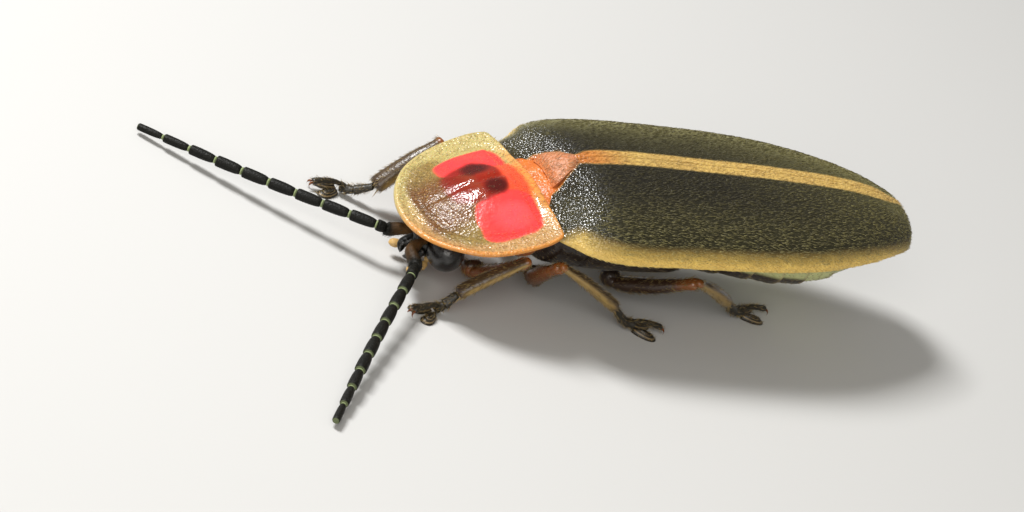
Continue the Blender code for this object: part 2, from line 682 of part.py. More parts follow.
def make_tarsus(name, start, middle, tip, material):
    """Short foot segments, a pad of two lobes that stands on the floor, two claws."""
    path = smooth_path([(x, y, 0.0) for x, y in (start, middle, tip)], 13)
    shanks = []
    for i in range(8):
        width = TARSUS_WIDTH * (TARSUS_WAIST if i % 2 == 0 else 1.0)
        shanks.append(foot_ring(path[i], path[i + 1] - path[max(i - 1, 0)], width, SHANK_SOLE,
                                TARSUS_HEIGHT - TARSUS_FALL * i))
    meshes = [loft_mesh("shanks", shanks)]
    pad_start = path[6]
    reach = (path[12] - pad_start).length
    heading = (path[12] - pad_start).normalized()
    aside = Vector((-heading.y, heading.x, 0.0))
    for side in (-1.0, 1.0):
        lobe = []
        for t, width in LOBE_SHAPE:
            place = pad_start + heading * (reach * t) + aside * (side * PAD_SPREAD * (PAD_JOIN + t))
            lobe.append(foot_ring(place, heading + aside * (LOBE_TURN * side), width, 0.0,
                                  LOBE_HEIGHT - LOBE_FALL * t))
        meshes.append(loft_mesh("lobe", lobe))
        claw = smooth_path([path[section] + aside * (out * side) + Vector((0.0, 0.0, z))
                            for section, out, z in CLAW_PLACES], len(CLAW_RADII))
        meshes.append(loft_mesh("claw", tube_rings(claw, CLAW_RADII, 5)))
    return fuse(name, meshes, material, "MANIFOLD")


def make_leg(name, thigh, room, ankle, middle, tip, finish):
    make_femur("femur_" + name, thigh, finish["brown_leg"])
    make_tibia("tibia_" + name, thigh[-1], room, ankle, finish["brown_leg"])
    step = (Vector(middle) - Vector(ankle[:2])).normalized() * ANKLE_CLEAR
    make_tarsus("tarsus_" + name, Vector(ankle[:2]) + step, middle, tip, finish["dark_foot"])


def centre_on_floor():
    """Move all pieces so that the origin is under the middle of their box."""
    corners = [vertex.co for piece in bpy.data.objects for vertex in piece.data.vertices]
    low = [min(corner[axis] for corner in corners) for axis in range(3)]
    high = [max(corner[axis] for corner in corners) for axis in range(3)]
    shift = Vector((-(low[0] + high[0]) / 2.0, -(low[1] + high[1]) / 2.0, -low[2]))
    for piece in bpy.data.objects:
        piece.data.transform(Matrix.Translation(shift))


def main():
    for old in list(bpy.data.objects):
        bpy.data.objects.remove(old)
    finish = {name: make_material(name) for name in MATERIALS}

    make_head(finish["black_feeler"])
    for name, side in (("left", -1.0), ("right", 1.0)):
        make_eye("eye_" + name, side, finish["black_eye"])
        make_antenna("antenna_" + name, *ANTENNAE[name], finish["black_feeler"])
        make_wing_case("elytron_" + name, side, finish["dark_shell"])
    make_pronotum(finish["pale_shield"])
    make_prothorax(finish["orange_plate"])
    make_scutellum(finish["orange_plate"])
    make_thorax(finish["dark_belly"])
    make_belly("abdomen", ABDOMEN_FRONT, LANTERN_FRONT - GAP, 4, finish["dark_belly"])
    make_belly("lantern", LANTERN_FRONT, LANTERN_REAR, 2, finish["lantern"])
    make_belly("abdomen_tip", LANTERN_REAR + GAP, ABDOMEN_REAR, 1, finish["dark_belly"])
    for name, places in LEGS.items():
        make_leg(name, *places, finish)
    centre_on_floor()


main()
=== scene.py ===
"""The looks of a life-size firefly beetle, built piece by piece round its fixed frame.

Sizes are millimetres in the beetle's own frame: x runs from the head (negative) to the
tail, y to the beetle's right, z up from the floor, and x = 0 is the rear edge of the
pronotum. finish_piece leaves every piece at the origin with its place in its mesh.
"""

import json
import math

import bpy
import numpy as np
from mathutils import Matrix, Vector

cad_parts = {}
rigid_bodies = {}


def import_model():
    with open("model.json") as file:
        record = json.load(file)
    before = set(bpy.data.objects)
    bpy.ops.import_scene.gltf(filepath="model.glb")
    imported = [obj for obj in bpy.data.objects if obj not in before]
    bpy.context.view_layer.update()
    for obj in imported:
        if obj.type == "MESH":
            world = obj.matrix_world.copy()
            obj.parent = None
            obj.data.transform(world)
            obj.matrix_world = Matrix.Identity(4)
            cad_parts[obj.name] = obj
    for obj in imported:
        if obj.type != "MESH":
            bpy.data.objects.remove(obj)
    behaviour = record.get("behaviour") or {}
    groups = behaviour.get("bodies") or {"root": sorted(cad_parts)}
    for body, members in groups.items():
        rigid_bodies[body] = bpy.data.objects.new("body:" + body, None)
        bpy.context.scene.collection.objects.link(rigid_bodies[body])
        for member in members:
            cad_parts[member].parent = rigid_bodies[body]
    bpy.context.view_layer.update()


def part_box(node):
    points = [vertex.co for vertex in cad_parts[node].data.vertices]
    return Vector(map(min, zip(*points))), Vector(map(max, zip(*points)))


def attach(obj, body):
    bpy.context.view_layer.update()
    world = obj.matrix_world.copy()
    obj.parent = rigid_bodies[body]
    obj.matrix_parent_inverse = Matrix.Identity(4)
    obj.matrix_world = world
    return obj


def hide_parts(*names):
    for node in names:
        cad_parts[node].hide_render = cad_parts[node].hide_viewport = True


bl_info = {
    "name": "Life-size firefly",
    "version": (1, 0, 0),
    "blender": (4, 5, 0),
    "location": "View3D > Sidebar > Firefly",
    "description": "Wing cases, pronotum, trunk, head, feelers, legs, hairs and a plain stage",
    "category": "Object",
}

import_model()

MM = 0.001
WELD = 0.0005              # millimetres within which points are one point
UP = np.array((0.0, 0.0, 1.0))

# wing cases: x, half width, height of the side edge, height of the crest
CASE_STATIONS = (
    (0.12, 1.80, 2.30, 2.72),
    (0.42, 1.92, 2.28, 2.95),
    (0.75, 2.18, 2.28, 3.21),
    (1.50, 2.37, 2.27, 3.41),
    (3.20, 2.43, 2.36, 3.48),
    (5.40, 2.38, 2.43, 3.48),
    (7.00, 2.20, 2.46, 3.45),
    (8.30, 1.82, 2.47, 3.38),
    (9.30, 1.40, 2.46, 3.24),
    (9.90, 1.10, 2.45, 3.06),
    (10.20, 0.93, 2.44, 2.96),
    (10.44, 0.80, 2.43, 2.88),
)
CASE_FRONT = CASE_STATIONS[0][0]
CASE_TAIL = CASE_STATIONS[-1][0]
SOLID_TAIL = 10.80         # where the solid cases end, which sets the frame
ARCH_POWER = 2.25          # 2 is an ellipse, more is squarer
SHOULDER_LENGTH = 0.42     # over which the front of a case rolls down
SHOULDER_DROP = 0.30
TAIL_ROUND = 0.42          # over which the tail end closes
CASE_SPLIT = 0.86          # share of the columns above the rolled edge
SEAM_CLOSE = 0.008         # half of the gap between the closed cases
SCUTELLUM_TIP = 0.95
SCUTELLUM_HALF = 0.58
SCUTELLUM_CURVE = 0.8
SCUTELLUM_FRONT = 0.36
PLATE_FRONT = 0.37         # the scutellum, from its front to its point
PLATE_REAR = 0.92
PLATE_GAP = -0.02
PLATE_TIP = 0.03
PLATE_SINK = 0.075
PLATE_DOME = 0.085
PLATE_WALL = 0.10
SEAM_RIDGE = 0.030
SEAM_RIDGE_WIDTH = 0.12
SEAM_GROOVE = 0.040
SEAM_GROOVE_WIDTH = 0.020
CASE_COLUMNS = 64
CASE_ROWS = 150

# pronotum: a shield that tips down in front and is turned a little to the left
SHIELD_LENGTH = 3.08
SHIELD_HALF = 2.02
SHIELD_WIDEST = 0.5
SHIELD_WAIST = 0.06
SHIELD_CORNER = 0.10
SHIELD_POWER = 2.4
SHIELD_ARCH = 0.06         # how far the middle of its rear edge reaches back
SHIELD_REAR_Z = 2.60
SHIELD_PITCH = math.radians(23.0)
SHIELD_YAW = math.radians(4.0)
SHIELD_DOME = 0.36
DOME_CENTRE = 1.15
DOME_REACH = 1.75
DOME_HALF = 1.4
SHIELD_MIDDLE = (1.45, 0.0)
SHIELD_AROUND = 224
FURROW_SIDE = -0.14        # the furrow down its middle

# trunk: x, half width, top, height of its widest line, underside
TRUNK_STATIONS = (
    (-1.12, 0.10, 1.60, 1.48, 1.36),
    (-1.06, 0.52, 1.88, 1.48, 1.18),
    (-0.80, 0.84, 2.00, 1.52, 1.02),
    (-0.30, 1.08, 2.14, 1.62, 0.97),
    (0.05, 1.20, 2.24, 1.72, 0.97),
    (0.28, 1.22, 2.36, 1.78, 1.06),
    (0.60, 1.42, 2.52, 1.84, 0.98),
    (2.20, 1.52, 2.84, 1.86, 0.95),
    (3.70, 1.52, 2.84, 1.90, 1.04),
    (4.20, 1.42, 2.80, 1.96, 1.14),
    (5.20, 1.66, 2.78, 2.02, 1.24),
    (6.50, 1.87, 2.74, 2.07, 1.27),
    (7.60, 1.66, 2.70, 2.10, 1.33),
    (8.60, 1.18, 2.62, 2.14, 1.41),
    (9.50, 0.66, 2.50, 2.18, 1.55),
    (9.90, 0.46, 2.40, 2.20, 1.80),
    (10.02, 0.10, 2.26, 2.20, 2.10),
)
TRUNK_RINGS = (4.20, 4.92, 5.64, 6.36, 7.05, 8.00, 8.95, 9.60, 10.20)
LANTERN_FRONT = 7.05
LANTERN_REAR = 8.95

# head
HEAD_CENTRE = (-1.72, -0.10, 0.92)
HEAD_HALF = (0.46, 0.50, 0.48)
EYE_RADIUS = 0.44
EYE_OFFSET = 0.60
EYE_SHIFT = (-0.03, 0.04)
JAW_PLACES = ((-0.30, 0.22, -0.18), (-0.55, 0.24, -0.40), (-0.66, 0.06, -0.55))
PALP_PLACES = ((-0.10, 0.24, -0.32), (-0.34, 0.44, -0.56), (-0.72, 0.52, -0.62))
LIP_PLACES = ((-0.22, 0.08, -0.34), (-0.34, 0.14, -0.52), (-0.46, 0.16, -0.60))

# antennae: places of the first two segments, direction, length and side bow of the rest
ANTENNAE = {
    "left": (((-2.06, -0.30, 1.00), (-2.53, -0.58, 0.86), (-2.60, -0.98, 0.78),
              (-2.75, -1.26, 0.78), (-2.95, -1.50, 0.79)), (-3.91, -4.83), 6.08, -0.04),
    "right": (((-2.08, 0.04, 1.00), (-2.56, 0.09, 0.92), (-2.80, 0.13, 0.85),
               (-2.92, 0.17, 0.86), (-3.08, 0.23, 0.87)), (-4.05, 3.86), 5.80, 0.10),
}
FEELER_SEGMENTS = 9
FEELER_RADIUS = 0.138
FEELER_TIP_RADIUS = 0.070
FEELER_TIP_Z = 0.16
TAPER_START = 0.55
SCAPE_END = 0.66           # share of the first places that is scape, the rest is pedicel

# legs: places of coxa and thigh up to the knee, end of the shin, middle and tip of the foot
LEGS = {
    "front_left": (((-0.74, -0.42, 0.64), (-0.72, -0.62, 0.44), (-0.56, -1.14, 0.84),
                    (-0.38, -1.74, 1.60)),
                   (-1.70, -1.70, 0.60), (-2.20, -1.76), (-3.05, -2.02)),
    "front_right": (((-0.74, 0.32, 0.66), (-0.74, 0.52, 0.48), (-0.72, 1.35, 0.80),
                     (-0.84, 2.34, 1.78)),
                    (-2.10, 2.16, 0.60), (-2.75, 2.62), (-3.60, 2.68)),
    "middle_left": (((0.90, -0.45, 0.66), (0.88, -0.65, 0.46), (0.50, -1.17, 0.88),
                     (0.53, -1.80, 1.60)),
                    (2.46, -1.68, 0.60), (3.25, -1.70), (4.15, -1.79)),
    "middle_right": (((0.90, 0.45, 0.66), (0.88, 0.65, 0.48), (0.60, 1.25, 0.90),
                      (0.66, 1.98, 1.58)),
                     (2.36, 2.22, 0.60), (3.10, 2.32), (4.05, 2.40)),
    "hind_left": (((3.00, -0.40, 0.70), (3.05, -0.58, 0.50), (3.60, -1.14, 0.86),
                   (4.28, -1.80, 1.50)),
                  (5.85, -1.10, 0.60), (6.70, -0.78), (7.60, -0.62)),
    "hind_right": (((3.00, 0.40, 0.70), (3.05, 0.58, 0.50), (3.60, 1.16, 0.88),
                    (4.24, 1.88, 1.52)),
                   (6.16, 2.05, 0.60), (7.00, 2.16), (7.95, 2.22)),
}
# share of the way, radius
FEMUR_PROFILE = ((0.0, 0.0), (0.02, 0.15), (0.10, 0.24), (0.22, 0.25), (0.31, 0.19), (0.35, 0.16),
                 (0.40, 0.18), (0.55, 0.205), (0.75, 0.195), (0.90, 0.145), (0.955, 0.165),
                 (0.99, 0.125), (1.0, 0.0))
TIBIA_PROFILE = ((0.0, 0.0), (0.015, 0.08), (0.05, 0.125), (0.12, 0.115), (0.35, 0.15),
                 (0.70, 0.172), (0.92, 0.178), (0.975, 0.16), (0.995, 0.10), (1.0, 0.0))
TIBIA_FLAT = 0.78
SHIN_SWELL = {"front_right": 1.25}
# painted shade and own colour: the middle and hind thighs are darkened, partly their own darker brown, partly painted
# shade under the body
LEG_SHADE_AND_DARK = {"front": 0.0, "middle": 0.35, "hind": 1.0}   # how dark each thigh is
# foot segments: where each starts and ends on the way, radius at both
FOOT_SEGMENTS = ((0.00, 0.31, 0.085, 0.135), (0.29, 0.47, 0.09, 0.14), (0.45, 0.62, 0.09, 0.15))
CLAW_SEGMENT = (0.60, 0.93, 0.055, 0.085)
LOBE_PLACE = 0.76
LOBE_HALF = (0.30, 0.145, 0.13)
LOBE_SPREAD = 0.17
LOBE_TURN = math.radians(20.0)

# camera and lights
CAMERA_TURN = math.radians(-39.0)
CAMERA_RISE = math.radians(28.3)
CAMERA_ROLL = math.radians(26.4)
CAMERA_AIM = (-0.157, -0.884, 1.141)
CAMERA_DISTANCE = 150.0
IMAGE_WIDTH = 1024         # pixels
PIXELS_PER_MM = 45.2
SENSOR_WIDTH = 36.0


def body_shift():
    """How far the frame moves the beetle's own zero, in millimetres."""
    left_low, left_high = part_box("elytron_left")
    right_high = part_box("elytron_right")[1]
    return np.array((left_high.x / MM - SOLID_TAIL, (left_low.y + right_high.y) / 2.0 / MM, 0.0))


SHIFT = body_shift()


def size_setting(name, description, millimetres):
    return bpy.props.FloatProperty(name=name, description=description, default=millimetres * MM,
                                   min=0.0, precision=5, unit="LENGTH", subtype="DISTANCE")


def colour_setting(name, description, colour):
    return bpy.props.FloatVectorProperty(name=name, description=description, default=colour,
                                         size=3, min=0.0, max=1.0, subtype="COLOR")


def number_setting(name, description, value):
    return bpy.props.FloatProperty(name=name, description=description, default=value, min=0.0)


def count_setting(name, description, value):
    return bpy.props.IntProperty(name=name, description=description, default=value, min=0)


class FIREFLY_PG_cases(bpy.types.PropertyGroup):
    """Sizes and colours of the wing cases"""
    wall: size_setting("Wall", "Thickness of a wing case", 0.06)
    edge_roll: size_setting("Edge roll", "Radius of the rolled side edge", 0.05)
    flare: size_setting("Flare", "How far the side edge stands out", 0.02)
    seam_stripe: size_setting("Seam stripe", "Width of the pale stripe on each side of the seam", 0.235)
    side_stripe: size_setting("Side stripe", "Width of the pale side margin", 0.36)
    dark: colour_setting("Dark", "Colour of the disc", (0.009, 0.0075, 0.004))
    gold: colour_setting("Gold", "Colour of the seam stripe", (0.56, 0.37, 0.105))
    # partly painted light: the side margin's own pale yellow, set lighter than the seam stripe for the light falling
    # on the side
    side: colour_setting("Side", "Colour of the side margin", (0.84, 0.57, 0.14))
    orange: colour_setting("Orange", "Colour of the stripe at its front", (0.48, 0.15, 0.025))
    # painted sheen: the lighter olive of the disc near its side edge and towards the tail stands for light caught by
    # its hairs
    sheen_haze: colour_setting("Sheen haze", "Colour of the disc at its side and tail", (0.034, 0.031, 0.012))


class FIREFLY_PG_shield(bpy.types.PropertyGroup):
    """Sizes and colours of the pronotum"""
    edge: size_setting("Edge", "Thickness of the margin", 0.10)
    body: size_setting("Body", "Thickness under the middle", 0.30)
    margin: colour_setting("Margin", "Colour of the margin", (0.47, 0.265, 0.095))
    rim: colour_setting("Rim", "Colour of the thin rim", (0.60, 0.24, 0.04))
    rose: colour_setting("Rose", "Colour of the two patches", (0.92, 0.052, 0.050))
    spot: colour_setting("Spot", "Colour of the dark spot", (0.050, 0.004, 0.003))
    orange: colour_setting("Orange", "Colour behind the spot", (0.85, 0.17, 0.03))
    front: colour_setting("Front", "Colour of the clear front", (0.15, 0.055, 0.008))


class FIREFLY_PG_body(bpy.types.PropertyGroup):
    """Colours of the trunk, head, legs and feelers"""
    dark: colour_setting("Dark", "Colour of the dark cuticle", (0.022, 0.013, 0.008))
    amber: colour_setting("Amber", "Colour of the first thorax ring", (0.42, 0.12, 0.03))
    plate: colour_setting("Plate", "Colour of the plate behind the pronotum", (0.56, 0.14, 0.022))
    lantern: colour_setting("Lantern", "Colour of the light organ", (0.50, 0.55, 0.20))
    leg: colour_setting("Leg", "Colour of the thighs", (0.20, 0.062, 0.014))
    shin: colour_setting("Shin", "Colour of the shins", (0.34, 0.22, 0.065))
    foot: colour_setting("Foot", "Colour of the feet", (0.018, 0.014, 0.007))
    feeler: colour_setting("Feeler", "Colour of the feelers", (0.005, 0.0048, 0.0034))
    joint: colour_setting("Joint", "Colour of the skin between segments", (0.26, 0.31, 0.15))
    palp: colour_setting("Palp", "Colour of the palps", (0.58, 0.36, 0.13))


class FIREFLY_PG_coat(bpy.types.PropertyGroup):
    """Sizes and numbers of the hairs"""
    seed: count_setting("Seed", "Start of the random draw", 11)
    case_count: count_setting("Case hairs", "Hairs on each wing case", 19000)
    case_length: size_setting("Case hair", "Length of a hair on the wing cases", 0.125)
    width: size_setting("Width", "Width of a hair at its root", 0.0105)
    shield_count: count_setting("Shield hairs", "Hairs on the pronotum", 3600)
    leg_count: count_setting("Leg hairs", "Hairs on each leg", 1300)
    segment_count: count_setting("Feeler hairs", "Hairs on each feeler segment", 170)
    pale: colour_setting("Pale", "Colour of the hairs on dark cuticle", (0.13, 0.115, 0.055))
    # painted sheen: the hairs are lighter near the side edge and towards the tail, for light caught along them
    sheen_haze: colour_setting("Sheen haze", "Colour of the hairs at the side and tail", (0.42, 0.37, 0.14))


class FIREFLY_PG_stage(bpy.types.PropertyGroup):
    """Floor and lights"""
    floor: colour_setting("Floor", "Colour of the floor", (0.56, 0.555, 0.54))
    key: number_setting("Key", "Power of the main light in watts", 0.098)
    fill: number_setting("Fill", "Power of the fill light in watts", 0.060)
    sky: number_setting("Sky", "Strength of the light from all round", 0.26)


class FIREFLY_PG_settings(bpy.types.PropertyGroup):
    """All settings of the firefly"""
    cases: bpy.props.PointerProperty(type=FIREFLY_PG_cases)
    shield: bpy.props.PointerProperty(type=FIREFLY_PG_shield)
    body: bpy.props.PointerProperty(type=FIREFLY_PG_body)
    coat: bpy.props.PointerProperty(type=FIREFLY_PG_coat)
    stage: bpy.props.PointerProperty(type=FIREFLY_PG_stage)


# modelling
def clear_selection():
    if bpy.context.object and bpy.context.object.mode != "OBJECT":
        bpy.ops.object.mode_set(mode="OBJECT")
    bpy.ops.object.select_all(action="DESELECT")


def select_only(*pieces):
    clear_selection()
    for piece in pieces:
        piece.select_set(True)
    bpy.context.view_layer.objects.active = pieces[0]


def read_places(mesh):
    flat = np.empty(len(mesh.vertices) * 3)
    mesh.vertices.foreach_get("co", flat)
    return flat.reshape(-1, 3)


def write_places(mesh, points):
    """Move the points of a mesh, given in millimetres in the beetle's own frame."""
    mesh.vertices.foreach_set("co", ((points + SHIFT) * MM).ravel())
    mesh.update()


def own_places(mesh):
    return read_places(mesh) / MM - SHIFT


def set_marks(mesh, **marks):
    """Keep one number for each point under each name, for materials and hairs."""
    for name, values in marks.items():
        layer = mesh.attributes.get(name) or mesh.attributes.new(name, "FLOAT", "POINT")
        layer.data.foreach_set("value", np.broadcast_to(values, len(mesh.vertices)).astype("f4"))


def read_mark(mesh, name):
    values = np.zeros(len(mesh.vertices), "f4")
    layer = mesh.attributes.get(name)
    if layer:
        layer.data.foreach_get("value", values)
    return values


def weld(piece, recalculate=True):
    """Merge the points that lie on each other and turn all faces outwards."""
    select_only(piece)
    bpy.ops.object.mode_set(mode="EDIT")
    bpy.ops.mesh.select_all(action="SELECT")
    bpy.ops.mesh.remove_doubles(threshold=WELD * MM)
    if recalculate:
        bpy.ops.mesh.normals_make_consistent(inside=False)
    bpy.ops.object.mode_set(mode="OBJECT")


def choose_faces(piece, wanted):
    """Select the faces whose normal is wanted, and nothing else."""
    select_only(piece)
    bpy.ops.object.mode_set(mode="EDIT")
    bpy.ops.mesh.select_all(action="DESELECT")
    bpy.ops.object.mode_set(mode="OBJECT")
    for face in piece.data.polygons:
        face.select = wanted(face.normal)


def flip(piece):
    select_only(piece)
    bpy.ops.object.mode_set(mode="EDIT")
    bpy.ops.mesh.select_all(action="SELECT")
    bpy.ops.mesh.flip_normals()
    bpy.ops.object.mode_set(mode="OBJECT")


def apply_modifier(piece, kind, **values):
    modifier = piece.modifiers.new(kind.capitalize(), kind)
    for name, value in values.items():
        setattr(modifier, name, value)
    select_only(piece)
    bpy.ops.object.modifier_apply(modifier=modifier.name)


def join_pieces(name, pieces):
    select_only(*pieces)
    if len(pieces) > 1:
        bpy.ops.object.join()
    pieces[0].name = name
    pieces[0].data.name = name
    return pieces[0]


def add_sheet(name, across, along, place, closed=False):
    """A grid whose points go to place(s, t), with s across and t along it from 0 to 1."""
    clear_selection()
    bpy.ops.mesh.primitive_grid_add(x_subdivisions=across, y_subdivisions=along, size=2.0)
    piece = bpy.context.object
    piece.name = name
    flat = read_places(piece.data)
    s = np.rint((flat[:, 0] + 1.0) / 2.0 * across) / across
    t = np.rint((flat[:, 1] + 1.0) / 2.0 * along) / along
    points, marks = place(s, t)
    write_places(piece.data, points)
    set_marks(piece.data, across=s, along=t, **marks)
    weld(piece, recalculate=closed)
    return piece


def path_frames(path):
    """Direction, side and upward direction at each point of a path."""
    ahead = np.gradient(path, axis=0)
    ahead /= np.linalg.norm(ahead, axis=1)[:, None]
    side = np.cross(ahead, UP)
    side /= np.maximum(np.linalg.norm(side, axis=1), 1e-6)[:, None]
    return ahead, side, np.cross(side, ahead)


def add_tube(name, path, radii, around=20, flat=1.0, marks=None):
    """A closed round body along a path; a radius of 0 at both ends closes it."""
    rows = len(path) - 1
    _, side, upward = path_frames(path)

    def place(s, t):
        row = np.rint(t * rows).astype(int)
        turn = 2.0 * math.pi * s
        reach = radii[row]
        points = (path[row] + side[row] * (reach * np.cos(turn))[:, None]
                  + upward[row] * (reach * flat * np.sin(turn))[:, None])
        own = {key: np.asarray(value)[row] for key, value in (marks or {}).items()}
        return points, own

    return add_sheet(name, around, rows, place, closed=True)


def smooth_path(places, count):
    """Points read evenly from a smooth curve through the given places."""
    places = np.array(places, float)
    ends = np.vstack((2.0 * places[0] - places[1], places, 2.0 * places[-1] - places[-2]))
    t = np.linspace(0.0, len(places) - 1.0, count)
    index = np.minimum(t.astype(int), len(places) - 2)
    t = (t - index)[:, None]
    a, b, c, d = (ends[index + i] for i in range(4))
    return 0.5 * (2.0 * b + (c - a) * t + (2.0 * a - 5.0 * b + 4.0 * c - d) * t ** 2
                  + (3.0 * b - a - 3.0 * c + d) * t ** 3)


def read_stations(stations, x):
    """Smooth values between stations, one array for each column after the first."""
    table = np.array(stations)
    knots = table[:, 0]
    x = np.clip(x, knots[0], knots[-1])
    index = np.clip(np.searchsorted(knots, x, side="right") - 1, 0, len(knots) - 2)
    step = knots[index + 1] - knots[index]
    t = (x - knots[index]) / step
    share = 3.0 * t ** 2 - 2.0 * t ** 3
    columns = []
    for column in table.T[1:]:
        slope = np.empty(len(knots))
        slope[0] = (column[1] - column[0]) / (knots[1] - knots[0])
        slope[-1] = (column[-1] - column[-2]) / (knots[-1] - knots[-2])
        slope[1:-1] = (column[2:] - column[:-2]) / (knots[2:] - knots[:-2])
        turning = (column[1:-1] - column[:-2]) * (column[2:] - column[1:-1]) <= 0.0
        slope[1:-1][turning] = 0.0
        columns.append(column[index] + (column[index + 1] - column[index]) * share
                       + step * (t ** 3 - 2.0 * t ** 2 + t) * slope[index]
                       + step * (t ** 3 - t ** 2) * slope[index + 1])
    return columns


def bump_at(x, centre, width):
    return np.exp(-((x - centre) / width) ** 2)


def soft_rise(x, low, high):
    t = np.clip((x - low) / (high - low), 0.0, 1.0)
    return t * t * (3.0 - 2.0 * t)


def draw_out(name, start, radius, steps, sides=10):
    """A small round face drawn out step by step, each step (move, size), to a closed tip."""
    clear_selection()
    direction = Vector(steps[0][0]).normalized()
    turn = direction.to_track_quat("Z", "Y").to_euler()
    centre = Vector((np.array(start) + SHIFT) * MM)
    bpy.ops.mesh.primitive_circle_add(vertices=sides, radius=radius * MM, fill_type="NGON",
                                      location=centre, rotation=turn)
    piece = bpy.context.object
    bpy.ops.object.mode_set(mode="EDIT")
    bpy.ops.mesh.select_all(action="SELECT")
    for move, size in steps:
        centre = centre + Vector(move) * MM
        bpy.ops.mesh.extrude_region_move(TRANSFORM_OT_translate={"value": Vector(move) * MM})
        bpy.ops.transform.resize(value=(size, size, size), center_override=centre)
    bpy.ops.mesh.select_all(action="SELECT")
    bpy.ops.mesh.normals_make_consistent(inside=False)
    bpy.ops.object.mode_set(mode="OBJECT")
    bpy.ops.object.transform_apply(location=True, rotation=True, scale=True)
    piece.name = name
    return piece


def finish_piece(piece, materials, nodes=(), angle=50.0):
    """Smooth a piece, give it its materials and let it ride on the one body."""
    if not isinstance(materials, (list, tuple)):
        materials = [materials]
    select_only(piece)
    bpy.ops.object.transform_apply(location=True, rotation=True, scale=True)
    if angle:
        bpy.ops.object.shade_smooth_by_angle(angle=math.radians(angle))
    if not piece.data.materials:
        for material in materials:
            piece.data.materials.append(material)
    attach(piece, "root")
    if nodes:
        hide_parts(*nodes)
    return piece


# materials
class Painter:
    """Adds nodes to a tree, in a row, and links them. A value may be a number or a socket."""

    def __init__(self, tree):
        self.tree = tree
        self.column = 0

    def give(self, socket, value):
        if isinstance(value, bpy.types.NodeSocket):
            self.tree.links.new(value, socket)
        elif socket.type == "RGBA":
            socket.default_value = as_colour(value)
        else:
            socket.default_value = value

    def add(self, kind, values=None, **settings):
        node = self.tree.nodes.new("ShaderNode" + kind)
        node.location = (180 * self.column, 0)
        self.column += 1
        for name, value in settings.items():
            setattr(node, name, value)
        for key, value in (values or {}).items():
            self.give(node.inputs[key], value)
        return node

    def math(self, operation, first, second=0.0, clamp=False):
        return self.add("Math", {0: first, 1: second}, operation=operation,
                        use_clamp=clamp).outputs[0]

    def multiply(self, *values):
        result = values[0]
        for value in values[1:]:
            result = self.math("MULTIPLY", result, value)
        return result

    def plus(self, first, second):
        return self.math("ADD", first, second)

    def less(self, first, second):
        return self.math("SUBTRACT", first, second)

    def most(self, first, second):
        return self.math("MAXIMUM", first, second)

    def turned(self, value):
        return self.math("SUBTRACT", 1.0, value)

    def rise(self, value, low, high):
        """0 below low, 1 above high, smooth between them; high may be the lower one."""
        node = self.add("MapRange", {"Value": value, "From Min": low, "From Max": high},
                        interpolation_type="SMOOTHSTEP")
        return node.outputs["Result"]

    def mix(self, share, first, second):
        node = self.add("Mix", data_type="RGBA")
        self.give(node.inputs[0], share)
        self.give(node.inputs[6], as_colour(first))
        self.give(node.inputs[7], as_colour(second))
        return node.outputs[2]

    def mark(self, name):
        return self.add("Attribute", attribute_name=name).outputs["Fac"]

    def place(self, stretch=(1.0, 1.0, 1.0)):
        """Place on the piece, with each direction scaled by its own number."""
        coordinate = self.add("TexCoord").outputs["Object"]
        return self.add("Mapping", {"Vector": coordinate, "Scale": stretch}).outputs["Vector"]

    def noise(self, where, per_mm, detail=2.0, roughness=0.5):
        return self.add("TexNoise", {"Vector": where, "Scale": per_mm / MM, "Detail": detail,
                                     "Roughness": roughness}).outputs["Fac"]

    def cells(self, where, per_mm, feature="F1"):
        return self.add("TexVoronoi", {"Vector": where, "Scale": per_mm / MM},
                        feature=feature).outputs["Distance"]

    def bump(self, height, millimetres, strength=1.0):
        return self.add("Bump", {"Height": height, "Distance": millimetres * MM,
                                 "Strength": strength}).outputs["Normal"]

    def group(self, tree, values=None):
        node = self.tree.nodes.new("ShaderNodeGroup")
        node.node_tree = tree
        node.location = (180 * self.column, 0)
        self.column += 1
        for key, value in (values or {}).items():
            self.give(node.inputs[key], value)
        return node.outputs


def as_colour(value):
    if isinstance(value, bpy.types.NodeSocket):
        return value
    return tuple(value)[:3] + (1.0,)


def new_group(name, inputs, outputs):
    """A shader node group with named sockets; returns its tree, painter and both ends."""
    tree = bpy.data.node_groups.new(name, "ShaderNodeTree")
    kinds = {"float": "NodeSocketFloat", "colour": "NodeSocketColor", "vector": "NodeSocketVector"}
    for label, kind, value in inputs:
        socket = tree.interface.new_socket(label, in_out="INPUT", socket_type=kinds[kind])
        if value is not None:
            socket.default_value = as_colour(value) if kind == "colour" else value
    for label, kind in outputs:
        tree.interface.new_socket(label, in_out="OUTPUT", socket_type=kinds[kind])
    entry = tree.nodes.new("NodeGroupInput")
    end = tree.nodes.new("NodeGroupOutput")
    return tree, Painter(tree), entry.outputs, end.inputs


def grain_group():
    """Fine granules and short streaks of cuticle, as a height."""
    tree, paint, given, wanted = new_group(
        "Cuticle grain",
        [("Size", "float", 1.0), ("Streak", "float", 0.0)],
        [("Height", "float"), ("Fleck", "float")])
    scale = paint.math("DIVIDE", 1.0, given["Size"])
    where = paint.add("VectorMath", {0: paint.place(), 3: scale}, operation="SCALE").outputs[0]
    cells = paint.cells(where, 18.0)
    noise = paint.noise(where, 9.0, 3.0, 0.6)
    stretched = paint.add("VectorMath", {0: where, 1: (0.16, 1.0, 1.0)},
                          operation="MULTIPLY").outputs[0]
    streak = paint.noise(stretched, 24.0, 2.0, 0.5)
    granules = paint.plus(paint.turned(cells), paint.multiply(noise, 0.7))
    height = paint.plus(paint.multiply(granules, paint.turned(given["Streak"])),
                        paint.multiply(streak, given["Streak"]))
    paint.give(wanted["Height"], height)
    paint.give(wanted["Fleck"], paint.rise(cells, 0.30, 0.12))
    return tree


